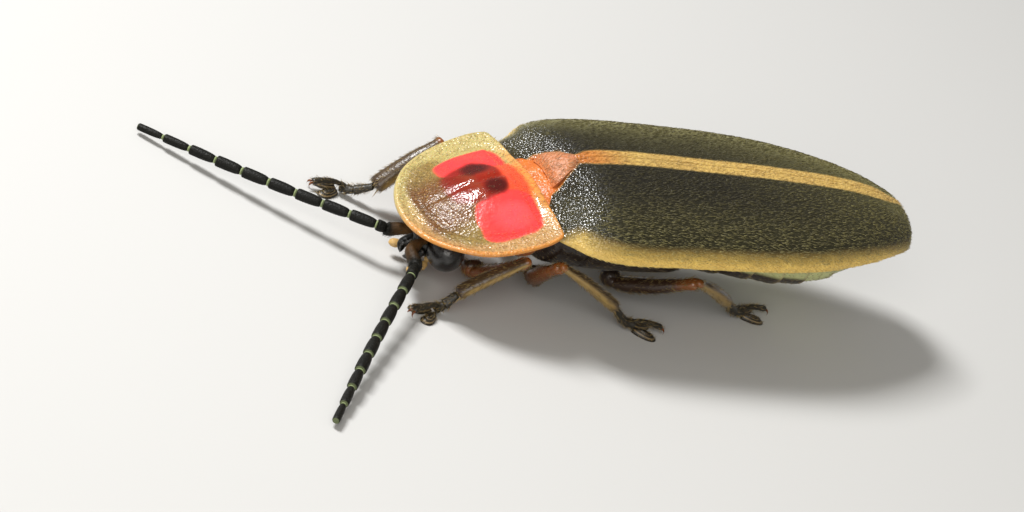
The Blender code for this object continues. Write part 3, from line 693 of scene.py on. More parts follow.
def mottle_group():
    """Slow, soft changes of a colour over the surface."""
    tree, paint, given, wanted = new_group(
        "Mottle",
        [("Colour", "colour", (0.5, 0.5, 0.5)), ("Amount", "float", 0.2), ("Per mm", "float", 1.5)],
        [("Colour", "colour")])
    scale = paint.math("DIVIDE", given["Per mm"], MM)
    noise = paint.add("TexNoise", {"Vector": paint.place(), "Scale": scale, "Detail": 3.0}).outputs["Fac"]
    centred = paint.multiply(paint.less(noise, 0.5), given["Amount"])
    value = paint.plus(1.0, paint.multiply(centred, 2.0))
    hue = paint.plus(0.5, paint.multiply(centred, 0.06))
    node = paint.add("HueSaturation", {"Hue": hue, "Value": value, "Color": given["Colour"]})
    paint.give(wanted["Colour"], node.outputs["Color"])
    return tree


def case_marks_group(settings):
    """The pale stripes of a wing case and the painted sheen, light and shade on it, for its skin and its hairs alike.
    """
    tree, paint, given, wanted = new_group(
        "Wing case markings",
        [("Dark", "colour", settings.dark), ("Gold", "colour", settings.gold),
         ("Side", "colour", settings.side), ("Orange", "colour", settings.orange),
         ("Sheen haze", "colour", settings.sheen_haze),
         ("Seam width", "float", settings.seam_stripe / MM),
         ("Side width", "float", settings.side_stripe / MM)],
        [("Colour", "colour"), ("Pale", "float")])
    seam, edge, body = paint.mark("seam"), paint.mark("edge"), paint.mark("body")
    wobble = paint.multiply(paint.less(paint.noise(paint.place((0.35, 1.0, 1.0)), 9.0), 0.5), 0.10)
    start = paint.rise(body, 0.55, 1.5)
    end = paint.rise(body, 10.45, 9.2)
    width = paint.multiply(given["Seam width"], paint.plus(0.30, paint.multiply(start, 0.70)),
                           paint.plus(0.10, paint.multiply(end, 0.90)))
    seam = paint.plus(seam, paint.multiply(wobble, 0.5))
    on_seam = paint.rise(paint.less(seam, width), 0.045, -0.03)
    shoulder = paint.rise(body, 2.4, 0.5)
    tail = paint.rise(body, 7.2, 10.4)
    side = paint.multiply(given["Side width"], paint.plus(1.0, paint.multiply(shoulder, 0.12)),
                          paint.less(1.0, paint.multiply(tail, 0.52)))
    side = paint.multiply(side, paint.rise(body, 0.05, 0.60))
    edge = paint.plus(edge, wobble)
    on_side = paint.rise(paint.less(edge, side), 0.16, -0.14)
    # painted light and shade on the side margin: its own pale colour, full only along the lowest rim as a painted
    # highlight, and darkened towards the tail as painted shade
    side_light_and_shade = paint.multiply(on_side, paint.plus(0.62, paint.multiply(
        paint.rise(paint.less(edge, paint.multiply(side, 0.55)), 0.05, -0.12), 0.38)))
    side_light_and_shade = paint.multiply(side_light_and_shade, paint.less(1.0, paint.multiply(paint.rise(body, 9.2, 10.4), 0.60)))
    pale = paint.most(on_seam, side_light_and_shade)
    front = paint.multiply(on_seam, paint.rise(body, 2.6, 1.0))
    stripe = paint.mix(front, given["Gold"], given["Orange"])
    # the side margin takes its own colour, set lighter than the seam stripe as painted light
    stripe = paint.mix(on_side, stripe, given["Side"])
    # painted sheen: the disc turns lighter olive near its side edge and towards the tail
    sheen_haze = paint.most(paint.rise(paint.mark("edge"), 2.0, 0.5), paint.rise(body, 4.0, 9.0))
    dark = paint.mix(paint.multiply(sheen_haze, 0.75), given["Dark"], given["Sheen haze"])
    paint.give(wanted["Colour"], paint.mix(pale, dark, stripe))
    paint.give(wanted["Pale"], pale)
    return tree


def shield_marks_group(settings):
    """The margin, patches, spot and clear front of the pronotum, with painted bounce light on the right margin and
    painted light in the left patch.
    """
    tree, paint, given, wanted = new_group(
        "Pronotum markings",
        [("Margin", "colour", settings.margin), ("Rim", "colour", settings.rim),
         ("Rose", "colour", settings.rose), ("Spot", "colour", settings.spot),
         ("Orange", "colour", settings.orange), ("Front", "colour", settings.front)],
        [("Colour", "colour"), ("Smooth", "float"), ("Disc", "float"), ("Rose", "float")])
    wobble = paint.multiply(paint.less(paint.noise(paint.place(), 2.2), 0.5), 0.16)
    u = paint.plus(paint.mark("forward"), wobble)
    v = paint.plus(paint.mark("sideways"), wobble)

    def oval(centre, radii, low, high, power=4.0):
        """1 inside a rounded box on the surface, falling to 0 outside it."""
        parts = []
        for value, middle, radius in zip((u, v), centre, radii):
            part = paint.math("ABSOLUTE", paint.math("DIVIDE", paint.less(value, middle), radius))
            parts.append(paint.math("POWER", part, power))
        return paint.rise(paint.plus(*parts), high, low)

    fleck = paint.rise(paint.cells(paint.place(), 13.0), 0.34, 0.12)
    disc = oval((1.30, 0.0), (1.42, 1.52), 0.78, 1.12, 3.0)
    front = paint.multiply(disc, paint.rise(u, 1.30, 1.75))
    olive = paint.mix(paint.rise(paint.math("ABSOLUTE", v), 0.55, 1.15), given["Front"],
                      (0.27, 0.18, 0.050))
    clear = paint.mix(paint.multiply(fleck, 0.50), olive, (0.62, 0.42, 0.15))
    # painted bounce light: the margin on the beetle's right side is yellower and greener, from green light thrown up
    # from below; the left side has the margin's own colour
    margin = paint.mix(paint.rise(v, -1.0, 0.8), (0.46, 0.37, 0.135), given["Margin"])
    colour = paint.mix(front, margin, clear)
    behind = oval((0.42, 0.05), (0.62, 0.62), 0.5, 1.3, 2.0)
    colour = paint.mix(paint.multiply(behind, 0.9), colour, given["Orange"])
    near = oval((0.97, 0.95), (0.78, 0.61), 0.72, 1.12, 3.4)
    far = oval((1.02, -0.92), (0.80, 0.43), 0.70, 1.12, 3.4)
    bridge = oval((0.74, -0.02), (0.60, 0.78), 0.6, 1.2, 3.0)
    rose = paint.most(near, far)
    colour = paint.mix(paint.multiply(bridge, 0.9), colour, (0.88, 0.075, 0.03))
    colour = paint.mix(rose, colour, given["Rose"])
    # painted light: the middle of the rose patch on the beetle's left side is lighter, as if lit through
    painted_patch_light = oval((0.90, 1.0), (0.50, 0.36), 0.0, 1.5, 2.0)
    colour = paint.mix(paint.multiply(painted_patch_light, 0.7), colour, (1.0, 0.105, 0.115))
    spot = oval((1.34, -0.18), (0.70, 0.66), 0.55, 1.20, 3.0)
    colour = paint.mix(paint.multiply(spot, 0.92), colour, (0.22, 0.009, 0.003))
    core_far = oval((1.14, -0.60), (0.34, 0.26), 0.2, 1.5, 2.0)
    core_near = oval((1.00, 0.16), (0.30, 0.28), 0.2, 1.5, 2.0)
    colour = paint.mix(paint.multiply(paint.most(core_far, core_near), 0.9), colour, given["Spot"])
    rear = paint.rise(paint.mark("forward"), 0.24, 0.06)
    middle = paint.rise(paint.math("ABSOLUTE", v), 1.5, 0.5)
    colour = paint.mix(paint.multiply(rear, middle, 0.65), colour, (0.80, 0.32, 0.08))
    rim = paint.multiply(paint.rise(paint.mark("edge"), 0.075, 0.01),
                         paint.rise(paint.mark("sideways"), -0.6, 1.1))
    colour = paint.mix(paint.multiply(rim, 0.85), colour, given["Rim"])
    paint.give(wanted["Colour"], colour)
    paint.give(wanted["Smooth"], paint.multiply(disc, paint.rise(u, 2.0, 1.5)))
    paint.give(wanted["Disc"], disc)
    paint.give(wanted["Rose"], rose)
    return tree


def new_material(name):
    """A material with an empty Principled shader, its painter and the shader's inputs."""
    material = bpy.data.materials.new(name)
    material.use_nodes = True
    tree = material.node_tree
    shader = tree.nodes["Principled BSDF"]
    shader.location = (4000, 0)
    tree.nodes["Material Output"].location = (4400, 0)
    return material, Painter(tree), shader.inputs


FINISH = {}


def finish(name):
    """A finish by its name, made when it is first asked for."""
    if name not in FINISH:
        FINISH[name] = MAKERS[name](bpy.context.scene.firefly)
    return FINISH[name]


def make_grain(settings):
    return grain_group()


def make_mottle(settings):
    return mottle_group()


def make_case_marks(settings):
    return case_marks_group(settings.cases)


def make_shield_marks(settings):
    return shield_marks_group(settings.shield)


def make_case_skin(settings):
    material, paint, shader = new_material("Wing case skin")
    marks = paint.group(finish("case marks"))
    grain = paint.group(finish("grain"), {"Size": 1.0, "Streak": 0.25})
    fleck = paint.multiply(grain["Fleck"], 0.10)
    colour = paint.mix(fleck, marks["Colour"], (0.20, 0.17, 0.09))
    colour = paint.group(finish("mottle"), {"Colour": colour, "Amount": 0.22, "Per mm": 1.3})["Colour"]
    # painted sheen: the dark disc turns lighter olive where it is seen edge-on, for light caught by the hairs
    grazing_sheen = paint.rise(paint.add("LayerWeight", {"Blend": 0.5}).outputs["Facing"], 0.50, 0.95)
    grazing_sheen = paint.multiply(grazing_sheen, paint.turned(marks["Pale"]))
    colour = paint.mix(paint.multiply(grazing_sheen, 0.8), colour, (0.24, 0.22, 0.075))
    paint.give(shader["Base Color"], colour)
    glint = paint.rise(paint.mark("body"), 1.8, 0.6)
    rough = paint.less(0.44, paint.multiply(glint, 0.25))
    paint.give(shader["Roughness"], paint.plus(rough, paint.multiply(marks["Pale"], 0.04)))
    strength = paint.plus(0.60, paint.multiply(glint, 0.40))
    paint.give(shader["Normal"], paint.bump(grain["Height"], 0.030, strength))
    shader["Sheen Weight"].default_value = 0.14
    shader["Sheen Roughness"].default_value = 0.35
    shader["Sheen Tint"].default_value = (0.80, 0.72, 0.42, 1.0)
    paint.give(shader["Specular IOR Level"], paint.plus(0.30, paint.multiply(glint, 0.50)))
    return material


def make_case_hair(settings):
    material, paint, shader = new_material("Wing case hair")
    # the hairs' own colours, lighter near the side edge and towards the tail as painted sheen
    marks = paint.group(finish("case marks"), {"Dark": settings.coat.pale,
                                               "Gold": (0.76, 0.54, 0.20),
                                               "Side": (0.95, 0.72, 0.24),
                                               "Orange": (0.62, 0.26, 0.06),
                                               "Sheen haze": settings.coat.sheen_haze})
    shade = paint.multiply(paint.mark("tint"), paint.less(0.80, paint.multiply(marks["Pale"], 0.72)))
    paint.give(shader["Base Color"], paint.mix(shade, marks["Colour"], (0.035, 0.028, 0.017)))
    paint.give(shader["Roughness"], paint.plus(0.30, paint.multiply(paint.mark("tint"), 0.15)))
    return material


def make_shield_skin(settings):
    material, paint, shader = new_material("Pronotum skin")
    marks = paint.group(finish("shield marks"))
    grain = paint.group(finish("grain"), {"Size": 1.15, "Streak": 0.0})
    colour = paint.group(finish("mottle"), {"Colour": marks["Colour"], "Amount": 0.10,
                                            "Per mm": 3.0})["Colour"]
    specks = paint.cells(paint.place(), 4.2)
    speck = paint.multiply(paint.rise(specks, 0.085, 0.05), paint.turned(marks["Disc"]))
    colour = paint.mix(paint.multiply(speck, 0.75), colour, (0.06, 0.03, 0.015))
    paint.give(shader["Base Color"], colour)
    rough = paint.plus(0.12, paint.multiply(paint.turned(marks["Smooth"]), 0.22))
    paint.give(shader["Roughness"], paint.plus(rough, paint.multiply(marks["Rose"], 0.10)))
    coarse = paint.noise(paint.place(), 5.0, 3.0, 0.6)
    rough_part = paint.plus(0.10, paint.multiply(paint.turned(marks["Smooth"]), 0.90))
    fold = paint.noise(paint.place(), 2.6, 2.0, 0.5)
    wrinkles = paint.plus(paint.multiply(coarse, 0.9), paint.multiply(fold, marks["Disc"], 1.6))
    height = paint.plus(paint.multiply(grain["Height"], rough_part), wrinkles)
    relief = paint.bump(height, 0.014, 0.75)
    paint.give(shader["Normal"], relief)
    paint.give(shader["Coat Normal"], relief)
    shader["Subsurface Weight"].default_value = 0.25
    shader["Subsurface Radius"].default_value = (1.0, 0.5, 0.25)
    shader["Subsurface Scale"].default_value = 0.15 * MM
    shader["Specular IOR Level"].default_value = 0.38
    shader["Coat Weight"].default_value = 0.22
    shader["Coat Roughness"].default_value = 0.08
    return material


def make_shield_hair(settings):
    material, paint, shader = new_material("Pronotum hair")
    marks = paint.group(finish("shield marks"))
    lighter = paint.mix(0.20, marks["Colour"], (0.85, 0.66, 0.36))
    shade = paint.multiply(paint.mark("tint"), 0.10)
    paint.give(shader["Base Color"], paint.mix(shade, lighter, (0.45, 0.28, 0.10)))
    shader["Roughness"].default_value = 0.35
    return material


def make_plate_skin(settings):
    material, paint, shader = new_material("Scutellum skin")
    grain = paint.group(finish("grain"), {"Size": 1.1, "Streak": 0.1})
    pink = paint.rise(paint.mark("body"), 0.30, 0.52)
    colour = paint.mix(pink, tuple(settings.body.plate), (0.46, 0.16, 0.06))
    colour = paint.mix(paint.multiply(grain["Fleck"], 0.25), colour, (0.80, 0.50, 0.26))
    colour = paint.group(finish("mottle"), {"Colour": colour, "Amount": 0.22, "Per mm": 3.0})["Colour"]
    paint.give(shader["Base Color"], colour)
    folds = paint.plus(grain["Height"], paint.multiply(paint.noise(paint.place(), 7.0, 3.0), 1.5))
    paint.give(shader["Normal"], paint.bump(folds, 0.018, 0.8))
    paint.give(shader["Roughness"], paint.plus(0.34, paint.multiply(pink, 0.10)))
    return material


def make_trunk_skin(settings):
    material, paint, shader = new_material("Trunk skin")
    body, under, step = paint.mark("body"), paint.mark("under"), paint.mark("step")
    grain = paint.group(finish("grain"), {"Size": 1.5, "Streak": 0.0})
    colour = paint.mix(paint.rise(body, 0.38, 0.16), tuple(settings.body.dark),
                       tuple(settings.body.amber))
    lit = paint.multiply(paint.rise(body, LANTERN_FRONT - 0.02, LANTERN_FRONT + 0.03),
                         paint.rise(body, LANTERN_REAR + 0.03, LANTERN_REAR - 0.02))
    cream = paint.mix(paint.multiply(paint.noise(paint.place(), 6.0, 4.0, 0.65), 0.5),
                      tuple(settings.body.lantern), (0.80, 0.74, 0.45))
    colour = paint.mix(paint.multiply(lit, paint.rise(under, 0.35, 0.55)), colour, cream)
    side = paint.multiply(paint.rise(under, 0.38, 0.46), paint.rise(under, 0.62, 0.54),
                          paint.rise(body, 4.8, 5.4))
    colour = paint.mix(paint.multiply(side, 0.85), colour, cream)
    edge = paint.multiply(paint.rise(step, 0.82, 0.97), paint.rise(body, 4.1, 4.3))
    colour = paint.mix(paint.multiply(edge, 0.55), colour, (0.30, 0.22, 0.10))
    colour = paint.group(finish("mottle"), {"Colour": colour, "Amount": 0.30, "Per mm": 2.2})["Colour"]
    paint.give(shader["Base Color"], colour)
    paint.give(shader["Roughness"], paint.plus(0.34, paint.multiply(grain["Fleck"], 0.15)))
    paint.give(shader["Normal"], paint.bump(grain["Height"], 0.014, 0.8))
    return material


def make_dark_skin(settings):
    material, paint, shader = new_material("Head skin")
    grain = paint.group(finish("grain"), {"Size": 0.9, "Streak": 0.0})
    dark = paint.mix(paint.mark("pale"), tuple(settings.body.feeler), tuple(settings.body.palp))
    colour = paint.group(finish("mottle"), {"Colour": dark, "Amount": 0.3, "Per mm": 4.0})["Colour"]
    paint.give(shader["Base Color"], colour)
    paint.give(shader["Roughness"], paint.plus(0.28, paint.multiply(grain["Fleck"], 0.15)))
    paint.give(shader["Normal"], paint.bump(grain["Height"], 0.010, 0.7))
    return material


def make_eye_skin(settings):
    material, paint, shader = new_material("Eye facets")
    where = paint.place()
    cells = paint.cells(where, 34.0)
    border = paint.cells(where, 34.0, "DISTANCE_TO_EDGE")
    colour = paint.mix(paint.rise(border, 0.0, 0.12), (0.03, 0.025, 0.02), (0.004, 0.004, 0.005))
    paint.give(shader["Base Color"], colour)
    paint.give(shader["Roughness"], paint.plus(0.10, paint.multiply(cells, 0.12)))
    paint.give(shader["Normal"], paint.bump(paint.turned(cells), 0.009, 0.7))
    shader["Coat Weight"].default_value = 0.4
    return material


def make_leg_skin(settings):
    material, paint, shader = new_material("Leg skin")
    reach, upward = paint.mark("reach"), paint.mark("upward")
    grain = paint.group(finish("grain"), {"Size": 1.0, "Streak": 0.3})
    knee = paint.multiply(paint.rise(reach, 0.40, 0.47), paint.rise(reach, 0.56, 0.51))
    thigh_end = paint.mix(paint.rise(reach, 0.05, 0.16), (0.045, 0.022, 0.010),
                          tuple(settings.body.leg))
    # painted shade and own colour: the middle and hind thighs go towards the dark cuticle
    thigh_end = paint.mix(paint.multiply(paint.mark("dusk"), 0.92), thigh_end,
                          tuple(settings.body.dark))
    shin = paint.rise(reach, 0.50, 0.55)
    gold = paint.mix(paint.rise(upward, 0.1, 0.7), tuple(settings.body.shin),
                     (0.065, 0.038, 0.016))
    colour = paint.mix(shin, thigh_end, gold)
    colour = paint.mix(paint.rise(reach, 0.93, 1.0), colour, (0.04, 0.022, 0.012))
    colour = paint.mix(paint.multiply(knee, 0.75), colour, (0.26, 0.085, 0.02))
    colour = paint.group(finish("mottle"), {"Colour": colour, "Amount": 0.25, "Per mm": 3.0})["Colour"]
    paint.give(shader["Base Color"], colour)
    rough = paint.less(0.36, paint.multiply(knee, 0.20))
    paint.give(shader["Roughness"], rough)
    paint.give(shader["Normal"], paint.bump(grain["Height"], 0.010, 0.7))
    shader["Coat Weight"].default_value = 0.15
    return material


def make_foot_skin(settings):
    material, paint, shader = new_material("Foot skin")
    grain = paint.group(finish("grain"), {"Size": 0.9, "Streak": 0.2})
    rim = paint.mark("rim")
    ring = paint.math("PINGPONG", paint.multiply(rim, 3.0), 0.5)
    pale = paint.multiply(paint.rise(ring, 0.30, 0.48), paint.rise(rim, 0.35, 0.6), 0.65)
    colour = paint.mix(pale, tuple(settings.body.foot), (0.36, 0.25, 0.12))
    colour = paint.mix(paint.mark("claw"), colour, (0.16, 0.05, 0.014))
    colour = paint.group(finish("mottle"), {"Colour": colour, "Amount": 0.35, "Per mm": 5.0})["Colour"]
    paint.give(shader["Base Color"], colour)
    paint.give(shader["Roughness"], paint.less(0.42, paint.multiply(paint.mark("claw"), 0.2)))
    paint.give(shader["Normal"], paint.bump(grain["Height"], 0.010, 0.7))
    return material


def make_feeler_skin(settings):
    material, paint, shader = new_material("Feeler skin")
    grain = paint.group(finish("grain"), {"Size": 0.75, "Streak": 0.0})
    joint = paint.mark("joint")
    colour = paint.mix(joint, tuple(settings.body.feeler), tuple(settings.body.joint))
    colour = paint.mix(paint.multiply(paint.mark("tan"), 0.6), colour, (0.20, 0.10, 0.035))
    colour = paint.mix(paint.multiply(grain["Fleck"], 0.04), colour, (0.20, 0.20, 0.15))
    colour = paint.group(finish("mottle"), {"Colour": colour, "Amount": 0.25, "Per mm": 4.0})["Colour"]
    paint.give(shader["Base Color"], colour)
    paint.give(shader["Roughness"], paint.plus(0.48, paint.multiply(joint, 0.2)))
    shader["Specular IOR Level"].default_value = 0.16
    paint.give(shader["Normal"], paint.bump(grain["Height"], 0.010, 0.8))
    return material


def make_hair(name, colour, dark, roughness):
    """A plain hair whose shade changes from one to the next."""
    def maker(settings):
        material, paint, shader = new_material(name)
        paint.give(shader["Base Color"], paint.mix(paint.mark("tint"), colour, dark))
        paint.give(shader["Roughness"], paint.plus(roughness, paint.multiply(paint.mark("tint"), 0.1)))
        return material
    return maker


def make_floor(settings):
    material, paint, shader = new_material("Pale floor")
    noise = paint.noise(paint.place(), 0.02, 4.0)
    colour = paint.mix(paint.multiply(noise, 0.08), tuple(settings.stage.floor), (0.60, 0.60, 0.58))
    paint.give(shader["Base Color"], colour)
    shader["Roughness"].default_value = 0.85
    return material


MAKERS = {
    "grain": make_grain,
    "mottle": make_mottle,
    "case marks": make_case_marks,
    "shield marks": make_shield_marks,
    "case skin": make_case_skin,
    "case hair": make_case_hair,
    "shield skin": make_shield_skin,
    "shield hair": make_shield_hair,
    "plate skin": make_plate_skin,
    "plate hair": make_hair("Scutellum hair", (0.80, 0.56, 0.34), (0.42, 0.20, 0.09), 0.30),
    "trunk skin": make_trunk_skin,
    "trunk hair": make_hair("Trunk hair", (0.40, 0.32, 0.18), (0.10, 0.07, 0.04), 0.40),
    "dark skin": make_dark_skin,
    "eye skin": make_eye_skin,
    "leg skin": make_leg_skin,
    "leg hair": make_hair("Leg hair", (0.50, 0.36, 0.14), (0.10, 0.065, 0.03), 0.38),
    "foot skin": make_foot_skin,
    "feeler skin": make_feeler_skin,
    "feeler hair": make_hair("Feeler hair", (0.055, 0.050, 0.034), (0.006, 0.005, 0.004), 0.50),
    "floor": make_floor,
}


# shapes of the body
def case_opening(x):
    """Half width that a wing case leaves open for the scutellum."""
    reach = np.clip((SCUTELLUM_TIP - x) / (SCUTELLUM_TIP - SCUTELLUM_FRONT), 0.0, 1.0)
    return SCUTELLUM_HALF * reach ** SCUTELLUM_CURVE


def case_section(x):
    """Half width, side edge and crest of the wing cases, closed at the tail."""
    half, edge_z, crest_z = read_stations(CASE_STATIONS, x)
    end = np.clip((x - CASE_TAIL + TAIL_ROUND) / TAIL_ROUND, 0.0, 1.0)
    narrow = np.sqrt(1.0 - end ** 2)
    front = np.clip((CASE_FRONT + SHOULDER_LENGTH - x) / SHOULDER_LENGTH, 0.0, 1.0)
    drop = SHOULDER_DROP * (1.0 - np.sqrt(1.0 - front ** 2))
    crest_z = edge_z + (crest_z - edge_z) * narrow
    return half * narrow - 0.35 * drop, edge_z, crest_z - drop


def arch(y, half, edge_z, crest_z):
    reach = np.clip(np.abs(y) / np.maximum(half, 1e-6), 0.0, 1.0)
    return edge_z + (crest_z - edge_z) * (1.0 - reach ** ARCH_POWER) ** (1.0 / ARCH_POWER)


def case_surface(side, roll, flare):
    """The place function of one wing case, from its seam to its rolled edge."""
    def place(s, t):
        along = 0.55 * t + 0.45 * 0.5 * (1.0 - np.cos(math.pi * t))
        x = CASE_FRONT + (CASE_TAIL - CASE_FRONT) * along
        half, edge_z, crest_z = case_section(x)
        start = np.minimum(SEAM_CLOSE + case_opening(x), half * 0.6)
        above = np.clip(s / CASE_SPLIT, 0.0, 1.0)
        turn = 0.5 * math.pi * above ** 1.5
        y = start + (half - start) * np.sin(turn)
        z = arch(y, half, edge_z, crest_z)
        seam = y - start
        edge = np.hypot(half - y, z - edge_z)
        closed = soft_rise(x, SCUTELLUM_TIP - 0.1, SCUTELLUM_TIP + 0.5) * soft_rise(half, 0.05, 0.6)
        z = z + closed * (SEAM_RIDGE * bump_at(seam, 0.0, SEAM_RIDGE_WIDTH)
                          - SEAM_GROOVE * bump_at(seam, 0.0, SEAM_GROOVE_WIDTH))
        z = z - (1.0 - closed) * 0.05 * bump_at(seam, 0.0, 0.05)
        y = y + flare * bump_at(edge, 0.0, 0.20) * soft_rise(half, 0.2, 1.0)
        below = np.clip((s - CASE_SPLIT) / (1.0 - CASE_SPLIT), 0.0, 1.0)
        radius = roll * np.minimum(1.0, half / 0.8)
        bend = np.minimum(below / 0.6, 1.0) * math.pi
        inward = radius * (1.0 - np.cos(bend)) + np.maximum(below - 0.6, 0.0) * 0.55 * np.minimum(1.0, half)
        y = np.maximum(y - inward, 0.0)
        z = z - 1.2 * radius * np.sin(bend)
        points = np.stack((x, side * y, z), axis=1)
        return points, {"seam": seam, "edge": edge, "body": x, "outer": (below <= 0.3).astype(float)}
    return place


def make_wing_case(name, side, settings):
    """One wing case: a curved sheet that is given its wall."""
    surface = case_surface(side, settings.edge_roll / MM, settings.flare / MM)
    case = add_sheet("wing_case_" + name, CASE_COLUMNS, CASE_ROWS, surface)
    if side > 0:
        flip(case)
    apply_modifier(case, "SOLIDIFY", thickness=settings.wall, offset=-1.0, use_rim=True)
    return finish_piece(case, finish("case skin"), ["elytron_" + name])


def shield_half_width(u):
    reach = np.clip((u - SHIELD_WIDEST) / (SHIELD_LENGTH - SHIELD_WIDEST), 0.0, 1.0)
    front = SHIELD_HALF * np.sqrt(1.0 - reach ** SHIELD_POWER)
    waist = SHIELD_HALF * (1.0 - SHIELD_WAIST * (np.clip(SHIELD_WIDEST - u, 0.0, None) / SHIELD_WIDEST) ** 2)
    missing = np.clip(SHIELD_CORNER - u, 0.0, SHIELD_CORNER)
    corner = SHIELD_CORNER - np.sqrt(SHIELD_CORNER ** 2 - missing ** 2)
    return np.where(u > SHIELD_WIDEST, front, waist - corner)


def shield_outline(count):
    """Points (forward, sideways), evenly spaced round the pronotum."""
    forward = SHIELD_LENGTH * (1.0 - np.cos(np.linspace(0.0, math.pi, 400))) / 2.0
    half = shield_half_width(forward)
    across = np.linspace(0.0, half[0], 60)[:-1]
    rear = -SHIELD_ARCH * (1.0 - (across / half[0]) ** 2)
    left = np.vstack((np.stack((rear, across), 1), np.stack((forward, half), 1)))
    right = left[::-1][1:] * np.array((1.0, -1.0))
    line = np.vstack((left, right))
    length = np.concatenate(([0.0], np.cumsum(np.linalg.norm(np.diff(line, axis=0), axis=1))))
    wanted = np.linspace(0.0, length[-1], count + 1)
    return np.stack([np.interp(wanted, length, line[:, i]) for i in range(2)], 1)


def shield_relief(u, v, edge):
    """Height of the pronotum over the plane of its edge, with its folds."""
    reach = ((u - DOME_CENTRE) / DOME_REACH) ** 2 + (v / DOME_HALF) ** 2
    dome = SHIELD_DOME * np.clip(1.0 - reach, 0.0, None) ** 2
    window = soft_rise(u, 0.5, 0.9) * soft_rise(u, 2.5, 2.0)
    furrow = -0.045 * bump_at(v, FURROW_SIDE, 0.075) * window
    cushions = 0.055 * (bump_at(v, 0.92, 0.34) + bump_at(v, -0.98, 0.30)) * bump_at(u, 1.0, 0.55)
    groove = -0.035 * bump_at(edge, 0.46, 0.09)
    droop = -0.085 * soft_rise(np.abs(v), 1.1, 2.0) * soft_rise(u, 2.7, 1.8)
    turned_up = 0.02 * bump_at(edge, 0.0, 0.12)
    rear = -0.04 * bump_at(u, 0.24, 0.09) * soft_rise(np.abs(v), 1.7, 1.2)
    return dome + furrow + cushions + groove + droop + turned_up + rear


def shield_point(u, v, height):
    """Place of a point of the pronotum: u forward of its rear edge, v to the left."""
    forward = np.array((-math.cos(SHIELD_YAW), -math.sin(SHIELD_YAW), 0.0)) * math.cos(SHIELD_PITCH)
    left = np.array((math.sin(SHIELD_YAW), -math.cos(SHIELD_YAW), 0.0))
    level = SHIELD_REAR_Z - u * math.sin(SHIELD_PITCH) + height
    return u[:, None] * forward + v[:, None] * left + level[:, None] * UP


def make_shield(settings):
    """The pronotum: rings from its middle to its edge, round it and back below."""
    outline = shield_outline(SHIELD_AROUND)
    top = 1.0 - (1.0 - np.linspace(0.0, 1.0, 46)) ** 1.25
    bend = np.linspace(0.0, math.pi, 8)[1:]
    below = np.linspace(1.0, 0.0, 16)[1:]
    edge_radius = settings.edge / MM / 2.0
    share = np.concatenate((top, np.ones(len(bend)), below))
    out = np.concatenate((np.zeros(len(top)), edge_radius * np.sin(bend), np.zeros(len(below))))
    drop = np.concatenate((np.zeros(len(top)), edge_radius * (1.0 - np.cos(bend)),
                           2.0 * edge_radius + (settings.body / MM - 2.0 * edge_radius)
                           * soft_rise(1.0 - below, 0.05, 0.7)))
    rows = len(share) - 1

    def place(s, t):
        row = np.rint(t * rows).astype(int)
        spoke = outline[np.rint(s * SHIELD_AROUND).astype(int)] - SHIELD_MIDDLE
        length = np.linalg.norm(spoke, axis=1)
        scale = share[row] * (1.0 - edge_radius / length) + out[row] / length
        u = SHIELD_MIDDLE[0] + spoke[:, 0] * scale
        v = SHIELD_MIDDLE[1] + spoke[:, 1] * scale
        edge = np.clip(1.0 - share[row], 0.0, 1.0) * length * 0.93
        upper = row < len(top)
        height = shield_relief(u, v, np.where(upper, edge, 0.0)) - drop[row]
        height = np.where(upper, height, height * soft_rise(share[row], 0.0, 0.2)
                          + (shield_relief(u, v, 9.0 + 0.0 * u) - drop[row])
                          * (1.0 - soft_rise(share[row], 0.0, 0.2)))
        return shield_point(u, v, height), {"forward": u, "sideways": v, "edge": edge,
                                            "outer": upper.astype(float)}

    shield = add_sheet("pronotum_shield", SHIELD_AROUND, rows, place, closed=True)
    return finish_piece(shield, finish("shield skin"), ["pronotum"])


def trunk_surface(s, t):
    """Round body from the first thorax ring to the tail, with its rings and steps."""
    front, rear = TRUNK_STATIONS[0][0], TRUNK_STATIONS[-1][0]
    x = front + (rear - front) * t
    half, top, wide_z, belly = read_stations(TRUNK_STATIONS, x)
    turn = 2.0 * math.pi * s
    cosine, sine = np.cos(turn), np.sin(turn)
    rings = np.array(TRUNK_RINGS)
    ring = np.clip(np.searchsorted(rings, x, side="right") - 1, 0, len(rings) - 2)
    step = np.clip((x - rings[ring]) / (rings[ring + 1] - rings[ring]), 0.0, 1.0)
    step = np.where(x < rings[0], 0.0, step)
    swell = 1.0 + 0.045 * (step - 0.5) * (x > rings[0])
    swell = swell - 0.10 * bump_at(x, 0.30, 0.10) - 0.05 * bump_at(x, 1.35, 0.04)
    swell = swell - 0.06 * bump_at(x, 4.05, 0.06)
    swell = np.where((s == 0.0) | (s == 1.0) | (t > 0.0), swell, 1.0)
    y = half * swell * np.sign(cosine) * np.abs(cosine) ** 0.85
    upper = wide_z + (top - wide_z) * np.abs(sine) ** 0.80
    lower = wide_z - (wide_z - belly) * swell * np.abs(sine) ** 0.85
    z = np.where(sine > 0.0, upper, lower)
    keel = soft_rise(x, 1.5, 2.0) * soft_rise(x, 3.9, 3.4) * (sine < 0.0)
    z = z + 0.07 * keel * bump_at(y, 0.0, 0.07)
    y = y + np.minimum(x, 0.0) * math.sin(SHIELD_YAW)
    points = np.stack((x, y, z), axis=1)
    return points, {"body": x, "under": 0.5 - 0.5 * sine, "step": step, "outer": (sine < 0.5).astype(float)}


def make_trunk():
    trunk = add_sheet("trunk_skin", 84, 260, trunk_surface, closed=True)
    return finish_piece(trunk, finish("trunk skin"),
                        ["prothorax", "thorax", "abdomen", "lantern", "abdomen_tip"])


